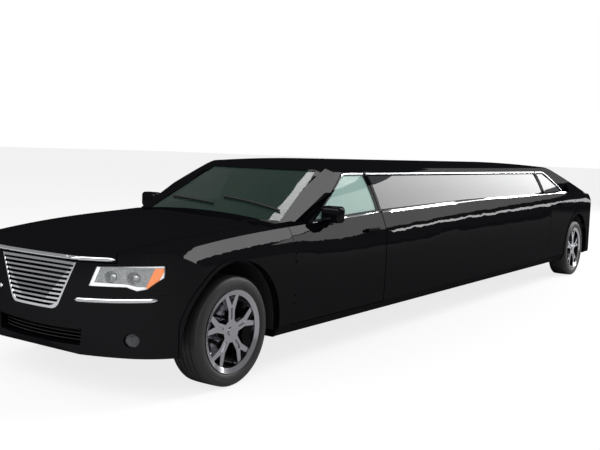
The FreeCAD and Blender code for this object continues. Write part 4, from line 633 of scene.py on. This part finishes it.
def domed(width, height, sink=0.002, count=8):    # a low arch with its foot sunk in the surface
    top = [(-width / 2 * math.cos(math.pi * k / count), height * math.sin(math.pi * k / count) ** 0.7)
           for k in range(count + 1)]
    return [(-width / 2, -sink)] + top + [(width / 2, -sink)]


def roundProfile(radius, count=10):
    turns = [2 * math.pi * k / count for k in range(count)]
    return [(radius * math.cos(turn), radius * math.sin(turn)) for turn in turns]


trimSettings = {
    "beltWidth": 0.030, "beltHeight": 0.007, "beltSpacing": 0.05,
    "railWidth": 0.017, "railHeight": 0.006, "doorSpacing": 0.02, "sideSpacing": 0.06,
}
railZ = 1.3765
windowLines = {    # by part: belt marks and upper marks as (y, z)
    "front_door": ([(-2.80, 1.026), (-1.80, 1.0645)],
                   [(-2.79, 1.046), (-2.60, 1.146), (-2.40, 1.250), (-2.24, 1.333), (-2.17, 1.364),
                    (-2.08, 1.3755), (-1.96, railZ), (-1.80, railZ)]),
    "body_side": ([(-1.765, 1.0645), (0.0, 1.0965), (2.375, 1.1115)],
                  [(-1.765, railZ), (0.3, railZ), (2.375, railZ)]),
    "rear_door": ([(2.41, 1.112), (3.12, 1.1225)],
                  [(2.41, railZ), (2.56, railZ), (2.66, 1.3745), (2.73, 1.360), (2.83, 1.306),
                   (2.96, 1.234), (3.10, 1.152)]),
}
beltProfile = domed(trimSettings["beltWidth"], trimSettings["beltHeight"])
railProfile = domed(trimSettings["railWidth"], trimSettings["railHeight"])
for side, turn in sides.items():
    for stem, (belt, upper) in windowLines.items():
        node = stem + "_" + side
        surface = surfaceOf(node)
        mesh = bmesh.new()
        addSweep(mesh, sidePath(surface, belt, trimSettings["beltSpacing"], turn), beltProfile)
        railSpacing = trimSettings["sideSpacing" if stem == "body_side" else "doorSpacing"]
        addSweep(mesh, sidePath(surface, upper, railSpacing, turn), railProfile)
        makePiece("windowChrome_" + node, mesh, bodyOf[node], "chrome")
print("window chrome on")

noseSettings = {
    "lip": [(-0.60, 0.868), (-0.30, 0.861), (0.0, 0.859), (0.30, 0.861), (0.60, 0.868)],
    "lipWidth": 0.026, "lipHeight": 0.010, "lipSpacing": 0.02,
    "strip": [(0.350, 0.609), (0.58, 0.618), (0.812, 0.632)],
    "stripWidth": 0.030, "stripHeight": 0.014, "stripSpacing": 0.012,
    "taper": 2,
}
lipProfile = domed(noseSettings["lipWidth"], noseSettings["lipHeight"])
stripProfile = domed(noseSettings["stripWidth"], noseSettings["stripHeight"])
mesh = bmesh.new()
lipPath = frontPath(surfaceOf("hood"), noseSettings["lip"], noseSettings["lipSpacing"])
addSweep(mesh, lipPath, lipProfile, noseSettings["taper"])
makePiece("hoodLip", mesh, bodyOf["hood"], "chrome")
bumperSurface = surfaceOf("front_bumper")
for side, turn in sides.items():
    mesh = bmesh.new()
    stripPath = frontPath(bumperSurface, noseSettings["strip"], noseSettings["stripSpacing"], turn)
    addSweep(mesh, stripPath, stripProfile, noseSettings["taper"])
    makePiece("lampStrip" + side.title(), mesh, "body", "chrome")
print("nose chrome on")

intakeSettings = {
    "rows": [0.350, 0.372, 0.394, 0.416], "half": 0.37, "width": 0.006, "back": 0.05, "spans": 24,
}
mesh = bmesh.new()
noseRadius = carSizes["noseRadius"]
for height in intakeSettings["rows"]:
    path = []
    for number in range(intakeSettings["spans"] + 1):
        x = intakeSettings["half"] * (number / (intakeSettings["spans"] / 2) - 1)
        y = carSizes["noseY"] + noseRadius - math.sqrt(noseRadius ** 2 - x * x) + intakeSettings["back"]
        path.append((Vector((x, y, height)), Vector((0, -1, 0))))
    addSweep(mesh, path, roundProfile(intakeSettings["width"] / 2, 6))
makePiece("intakeBars", mesh, "body", "black_plastic")


def ringsAbout(centre, profile, count):    # profile of (out along x, radius), turned about x
    rings = []
    for number in range(count):
        turn = 2 * math.pi * number / count
        rise, run = math.sin(turn), math.cos(turn)
        rings.append([Vector((centre[0] + out, centre[1] + radius * run, centre[2] + radius * rise))
                      for out, radius in profile])
    return rings


def addLathe(mesh, centre, profile, count, closed=True):
    rings = [[mesh.verts.new(place) for place in ring] for ring in ringsAbout(centre, profile, count)]
    steps = range(len(profile)) if closed else range(1, len(profile))
    for first, second in zip(rings, rings[1:] + rings[:1]):
        for k in steps:
            mesh.faces.new((first[k - 1], first[k], second[k], second[k - 1]))


tyreSettings = {    # metres; outlines are (across, radius) from the bead outward
    "radius": 0.364, "crownBack": 0.0002, "crownBend": 0.10,
    "wall": [(0.104, 0.2675), (0.112, 0.277), (0.119, 0.291), (0.1222, 0.306), (0.1225, 0.318),
             (0.1212, 0.330), (0.1195, 0.3315), (0.119, 0.336), (0.1175, 0.342), (0.113, 0.351),
             (0.106, 0.358), (0.100, 0.3615)],
    "inside": [(0.095, 0.2805), (0.10, 0.30), (0.0, 0.335), (-0.10, 0.30), (-0.095, 0.2805)],
    "grooves": (-0.060, -0.020, 0.020, 0.060), "grooveHalf": 0.0045, "grooveDepth": 0.007, "grooveFoot": 0.7,
    "segments": 120,
    "sipes": 72, "sipeSlant": 9.0, "sipeShare": 0.12, "sipeFrom": 0.352,
    "ringPitch": 150.0, "ringShare": 0.25, "ringFrom": 0.318, "ringTo": 0.332,
}


def tyreProfile(settings):    # from the inner bead over the tread to the outer bead, then back inside
    outline = [(-across, high) for across, high in settings["wall"]]
    wide = settings["grooveHalf"]
    foot = settings["grooveFoot"] * wide
    for groove in settings["grooves"]:
        crown = settings["radius"] - settings["crownBack"] - settings["crownBend"] * groove * groove
        bottom = crown - settings["grooveDepth"]
        outline += [(groove - wide, crown), (groove - foot, bottom)]
        outline += [(groove + foot, bottom), (groove + wide, crown)]
    return outline + settings["wall"][::-1] + settings["inside"]


def tyreMaterialFor(name, centre, settings):    # rubber whose sipes and rings follow the wheel's own centre
    material, place, shader = newMaterial(name, {"Specular IOR Level": 0.3})
    y = place.axis("Y") - centre[1]
    z = place.axis("Z") - centre[2]
    radius = (y * y + z * z).sum("SQRT", y * y + z * z)
    turn = y.sum("ARCTAN2", z, y)
    sipe = turn * (settings["sipes"] / (2 * math.pi)) + (place.axis("X") - centre[0]) * settings["sipeSlant"]
    sipe = sipe.sum("FRACT", sipe)
    cut = (sipe < settings["sipeShare"]) * (radius > settings["sipeFrom"])
    ring = radius.sum("FRACT", radius * settings["ringPitch"])
    lines = (ring < settings["ringShare"]) * (radius < settings["ringTo"]) * (radius > settings["ringFrom"])
    dust = noiseAt(place, 9.0, 4.0)
    feed(shader, "Base Color", dust.mixColour((0.010, 0.010, 0.011, 1), (0.022, 0.022, 0.022, 1)))
    feed(shader, "Roughness", dust * 0.15 + 0.42)
    grain = noiseAt(place, 300.0, 2.0)
    feed(shader, "Normal", bumpFrom(grain * 0.15 - cut * 1.0 - lines * 0.3, 0.6, 0.004))
    return material


def inputSocket(group, name):
    return next(item.identifier for item in group.interface.items_tree
                if item.name == name and item.in_out == "INPUT")


def turnedCopies(name, seed, count, centre, radius, start, material):    # seed copied round an axis along x
    group = bpy.data.node_groups.new(name, "GeometryNodeTree")
    group.interface.new_socket("Geometry", in_out="INPUT", socket_type="NodeSocketGeometry")
    group.interface.new_socket("Count", in_out="INPUT", socket_type="NodeSocketInt")
    group.interface.new_socket("Radius", in_out="INPUT", socket_type="NodeSocketFloat")
    group.interface.new_socket("Start", in_out="INPUT", socket_type="NodeSocketFloat")
    group.interface.new_socket("Geometry", in_out="OUTPUT", socket_type="NodeSocketGeometry")
    made = {}
    for key, kind in (("in", "NodeGroupInput"), ("out", "NodeGroupOutput"), ("points", "GeometryNodePoints"),
                      ("place", "GeometryNodeInstanceOnPoints"), ("real", "GeometryNodeRealizeInstances"),
                      ("paint", "GeometryNodeSetMaterial"), ("index", "GeometryNodeInputIndex")):
        made[key] = group.nodes.new(kind)
    index = Wave(group, made["index"].outputs[0])
    number = Wave(group, made["in"].outputs["Count"])
    turn = index / number * (2 * math.pi) + Wave(group, made["in"].outputs["Start"])
    far = Wave(group, made["in"].outputs["Radius"])
    along = turn.sum("COSINE", turn) * far + centre[1]
    high = turn.sum("SINE", turn) * far + centre[2]
    where = turn.node("ShaderNodeCombineXYZ", None, {"X": centre[0], "Y": along, "Z": high})
    angle = turn.node("ShaderNodeCombineXYZ", None, {"X": turn})
    group.links.new(number.socket, made["points"].inputs["Count"])
    group.links.new(where.socket, made["points"].inputs["Position"])
    group.links.new(made["points"].outputs[0], made["place"].inputs["Points"])
    group.links.new(made["in"].outputs["Geometry"], made["place"].inputs["Instance"])
    group.links.new(angle.socket, made["place"].inputs["Rotation"])
    group.links.new(made["place"].outputs[0], made["real"].inputs[0])
    group.links.new(made["real"].outputs[0], made["paint"].inputs["Geometry"])
    made["paint"].inputs["Material"].default_value = material
    group.links.new(made["paint"].outputs[0], made["out"].inputs[0])
    holder = linkObject(name, seed)
    step = holder.modifiers.new("copies", "NODES")
    step.node_group = group
    step[inputSocket(group, "Count")] = count
    step[inputSocket(group, "Radius")] = radius
    step[inputSocket(group, "Start")] = start
    bpy.context.view_layer.update()
    flat = bpy.data.meshes.new_from_object(holder.evaluated_get(bpy.context.evaluated_depsgraph_get()))
    bpy.data.objects.remove(holder)
    return flat


wheelSettings = {
    "nutProfile": [(0.0, 1e-5), (0.0, 0.0105), (0.010, 0.0105), (0.014, 0.007), (0.0155, 1e-5)],
    "nutSegments": 12, "nutCount": 5, "nutRadius": 0.057, "nutBack": 0.050, "nutStart": 0.63, "nutSharp": 0.7,
}


def nutMesh(outward, settings):    # a domed round nut about the x axis
    mesh = bmesh.new()
    profile = [(outward * out, radius) for out, radius in settings["nutProfile"]]
    addLathe(mesh, (0, 0, 0), profile, settings["nutSegments"], False)
    bmesh.ops.remove_doubles(mesh, verts=mesh.verts, dist=1e-4)
    bmesh.ops.recalc_face_normals(mesh, faces=mesh.faces)
    data = bpy.data.meshes.new("nut")
    mesh.to_mesh(data)
    mesh.free()
    return data


for side, turn in sides.items():
    for end, axleY in (("front", carSizes["frontAxleY"]), ("rear", carSizes["rearAxleY"])):
        label = end.title() + side.title()
        wheel = end + "_" + side
        centre = (turn * carSizes["wheelX"], axleY, carSizes["axleZ"])
        wheelBody = bodyOf["rim_" + wheel]
        mesh = bmesh.new()
        addLathe(mesh, centre, tyreProfile(tyreSettings), tyreSettings["segments"])
        tyre = makePiece("tyreTread" + label, mesh, wheelBody, "tyre", None, 30.0, ["tyre_" + wheel])
        tyre.data.materials[0] = tyreMaterialFor("tyreRubber" + label, centre, tyreSettings)
        skinPanel("rim_" + wheel, "rimSkin" + label, skinSettings["rimSteps"])
        rimLow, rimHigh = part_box("rim_" + wheel)
        face = rimHigh.x if turn > 0 else rimLow.x
        seat = (face - turn * wheelSettings["nutBack"], axleY, carSizes["axleZ"])
        nuts = turnedCopies("lugNuts" + label, nutMesh(turn, wheelSettings), wheelSettings["nutCount"], seat,
                            wheelSettings["nutRadius"], wheelSettings["nutStart"], materials["wheel_chrome"])
        nuts.polygons.foreach_set("use_smooth", [True] * len(nuts.polygons))
        nuts.set_sharp_from_angle(angle=wheelSettings["nutSharp"])
        piece = linkObject("lugNuts" + label, nuts)
        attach(piece, wheelBody)
print("wheels dressed")


cushionSettings = {    # metres; power sets how square it is
    "power": 7.0, "cuts": 18, "pullIn": 0.025, "crownPower": 0.6,
    "channelHalf": 0.010, "channelDepth": 0.010, "channelEnds": 4, "fill": 0.8,
}


def cushionPiece(name, low, high, crown, channels=(), channelAxis=0, face=2, facing=1.0, lean=0.0,
                 stands=None):    # a crowned block of leather with sewn channels
    settings = cushionSettings
    low, high = Vector(low), Vector(high)
    middle, half = (low + high) / 2, (high - low) / 2
    mesh = bmesh.new()
    bmesh.ops.create_cube(mesh, size=2.0)
    bmesh.ops.subdivide_edges(mesh, edges=mesh.edges, cuts=settings["cuts"], use_grid_fill=True)
    power = settings["power"]
    others = [axis for axis in range(3) if axis != face]
    for vert in mesh.verts:
        p = vert.co.copy()
        norm = (abs(p.x) ** power + abs(p.y) ** power + abs(p.z) ** power) ** (1 / power)
        p = p / max(norm, 1e-6) * max(abs(p.x), abs(p.y), abs(p.z))
        flat = [p.x, p.y, p.z]
        fullness = (1 - flat[others[0]] ** 2) * (1 - flat[others[1]] ** 2)
        for axis, mate in (others, others[::-1]):
            flat[axis] *= 1.0 - settings["pullIn"] * (1 - flat[mate] ** 2) * (1 - abs(flat[face]))
        spot = Vector((flat[0] * half.x, flat[1] * half.y, flat[2] * half.z))
        outer = flat[face] * facing
        if outer > 0:
            spot[face] += facing * (fullness ** settings["crownPower"] * crown - crown) * outer
            for place in channels:
                near = (flat[channelAxis] - place) * half[channelAxis] / settings["channelHalf"]
                deep = settings["channelDepth"] * math.exp(-near * near)
                spot[face] -= facing * deep * outer * min(fullness * settings["channelEnds"], 1)
        spot.y += lean * (spot.z + half.z)
        vert.co = middle + spot
    piece = makePiece(name, mesh, "body", "seat_leather", None, 180.0, stands)
    smooth = piece.modifiers.new("round", "SUBSURF")
    smooth.levels = smooth.render_levels = 1


def addBox(mesh, low, high):
    made = bmesh.ops.create_cube(mesh, size=1.0)
    for vert in made["verts"]:
        vert.co = Vector([(low[a] + high[a]) / 2 + vert.co[a] * (high[a] - low[a]) for a in range(3)])


seatSettings = {
    "x": 0.413, "half": 0.243, "channels": (-0.62, 0.62), "lean": 0.02,
    "baseY": (-2.4075, -1.9675), "baseZ": (0.42, 0.57), "baseCrown": 0.02,
    "backY": (-1.9675, -1.8475), "backZ": (0.46, 1.13), "backCrown": 0.03,
    "headY": (-1.93, -1.83), "headZ": (1.115, 1.28), "headCrown": 0.012,
    "postOff": 0.05, "postY": -1.878, "postZ": (1.06, 1.09, 1.13, 1.17), "postRadius": 0.007,
    "railY": (-2.33, -1.95), "railZ": 0.37,
    "railProfile": [(-0.15, -0.07), (-0.13, 0.055), (0.13, 0.055), (0.15, -0.07)],
}


def addSeat(label, x, settings):    # base, back and headrest on two posts and a rail box
    half, channels = settings["half"], settings["channels"]
    (baseStart, baseEnd), (baseLow, baseTop) = settings["baseY"], settings["baseZ"]
    (backStart, backEnd), (backLow, backTop) = settings["backY"], settings["backZ"]
    (headStart, headEnd), (headLow, headTop) = settings["headY"], settings["headZ"]
    cushionPiece("seatBase" + label, (x - half, baseStart, baseLow), (x + half, baseEnd, baseTop),
                 settings["baseCrown"], channels, stands=["front_seats"])
    cushionPiece("seatBack" + label, (x - half, backStart, backLow), (x + half, backEnd, backTop),
                 settings["backCrown"], channels, 0, 1, -1.0, settings["lean"])
    cushionPiece("headrest" + label, (x - half / 2, headStart, headLow), (x + half / 2, headEnd, headTop),
                 settings["headCrown"], (), 0, 1, -1.0)
    mesh = bmesh.new()
    for offset in (-settings["postOff"], settings["postOff"]):
        post = [(Vector((x + offset, settings["postY"], z)), Vector((0, -1, 0))) for z in settings["postZ"]]
        addSweep(mesh, post, roundProfile(settings["postRadius"]))
    rail = [(Vector((x, y, settings["railZ"])), Vector((0, 0, 1))) for y in settings["railY"]]
    addSweep(mesh, rail, settings["railProfile"])
    makePiece("seatFrame" + label, mesh, "body", "bare_metal")


for side, turn in sides.items():
    addSeat(side.title(), turn * seatSettings["x"], seatSettings)

benchSettings = {    # metres; depths are taken forward from the bench's back face
    "half": 0.74, "channels": (-0.66, -0.33, 0.0, 0.33, 0.66), "baseCrown": 0.02, "backCrown": 0.03,
    "baseDepths": (0.64, 0.16), "baseZ": (0.48, 0.61), "backDepth": 0.18, "backZ": (0.56, 1.03),
    "sideStart": -1.1625, "sideEndDepth": 0.52, "sideX": -0.30, "sideZ": (0.44, 0.61), "sideCrown": 0.02,
    "sideBackX": -0.60, "sideBackZ": (0.55, 0.96), "sideChannels": [-0.9 + 0.2 * k for k in range(10)],
    "footZ": 0.2986, "plinthHalf": 0.73, "plinthTop": 0.50, "plinthDepths": (0.63, 0.02), "plinthInner": 0.17,
    "sidePlinthTop": 0.47, "sideInset": 0.01, "bevel": 0.008,
}


def addBenches(settings, backY):    # the bench across the car, the one along it and their plinths
    half, start, end = settings["half"], settings["sideStart"], backY - settings["sideEndDepth"]
    (baseDepth, baseGap), (baseLow, baseTop) = settings["baseDepths"], settings["baseZ"]
    (backLow, backTop), (sideLow, sideTop) = settings["backZ"], settings["sideZ"]
    sideBackLow, sideBackTop = settings["sideBackZ"]
    cushionPiece("benchBase", (-half, backY - baseDepth, baseLow), (half, backY - baseGap, baseTop),
                 settings["baseCrown"], settings["channels"], stands=["lounge_seat"])
    cushionPiece("benchBack", (-half, backY - settings["backDepth"], backLow), (half, backY, backTop),
                 settings["backCrown"], settings["channels"], 0, 1, -1.0)
    cushionPiece("sideBench", (-half, start, sideLow), (settings["sideX"], end, sideTop),
                 settings["sideCrown"], settings["sideChannels"], 1)
    cushionPiece("sideBenchBack", (-half, start, sideBackLow), (settings["sideBackX"], end, sideBackTop),
                 settings["sideCrown"], settings["sideChannels"], 1, 0, 1.0)
    mesh = bmesh.new()
    foot, outer, inner, inset = (settings[key] for key in ("footZ", "plinthHalf", "plinthInner", "sideInset"))
    near, far = (backY - depth for depth in settings["plinthDepths"])
    sideCorner = (settings["sideX"] - inset, end - inset, settings["sidePlinthTop"])
    addBox(mesh, (-outer, start + inset, foot), sideCorner)
    addBox(mesh, (-outer, near, foot), (-inner, far, settings["plinthTop"]))
    addBox(mesh, (inner, near, foot), (outer, far, settings["plinthTop"]))
    bmesh.ops.bevel(mesh, geom=mesh.edges[:], offset=settings["bevel"], segments=2, affect="EDGES")
    makePiece("benchPlinth", mesh, "body", "seat_leather", "lining")


addBenches(benchSettings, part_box("lounge_seat")[1].y)
print("seats made")

cabinSettings = {
    "mirror": (0.0, -2.16, 1.315), "mirrorHalf": (0.115, 0.012, 0.032), "bevel": 0.010,
    "stalkFoot": (0.0, -2.15, 1.325), "stalkStep": (0.0, 0.012, 0.024), "stalkSpots": 4, "stalkRadius": 0.007,
}
mesh = bmesh.new()
middle, half = Vector(cabinSettings["mirror"]), Vector(cabinSettings["mirrorHalf"])
addBox(mesh, middle - half, middle + half)
bmesh.ops.bevel(mesh, geom=mesh.edges[:], offset=cabinSettings["bevel"], segments=3, affect="EDGES")
foot, step = Vector(cabinSettings["stalkFoot"]), Vector(cabinSettings["stalkStep"])
stalk = [(foot + step * k, Vector((1, 0, 0))) for k in range(cabinSettings["stalkSpots"])]
addSweep(mesh, stalk, roundProfile(cabinSettings["stalkRadius"]))
makePiece("cabinMirror", mesh, "body", "black_plastic")

wiperSettings = {    # marks are (x, y)
    "blades": ([(0.60, -2.835), (0.30, -2.80), (0.00, -2.77)],
               [(-0.03, -2.865), (-0.30, -2.82), (-0.55, -2.765)]),
    "profile": [(-0.004, -0.011), (-0.006, 0.004), (0.006, 0.004), (0.004, -0.011)],
    "lift": 0.012, "spacing": 0.04,
}
mesh = bmesh.new()
screenSurface = surfaceOf("windshield")
for marks in wiperSettings["blades"]:
    path = topPath(screenSurface, marks, wiperSettings["spacing"])
    raised = [(place + normal * wiperSettings["lift"], normal) for place, normal in path]
    addSweep(mesh, raised, wiperSettings["profile"])
makePiece("wiperBlades", mesh, "body", "black_plastic")
print("cabin dressed")
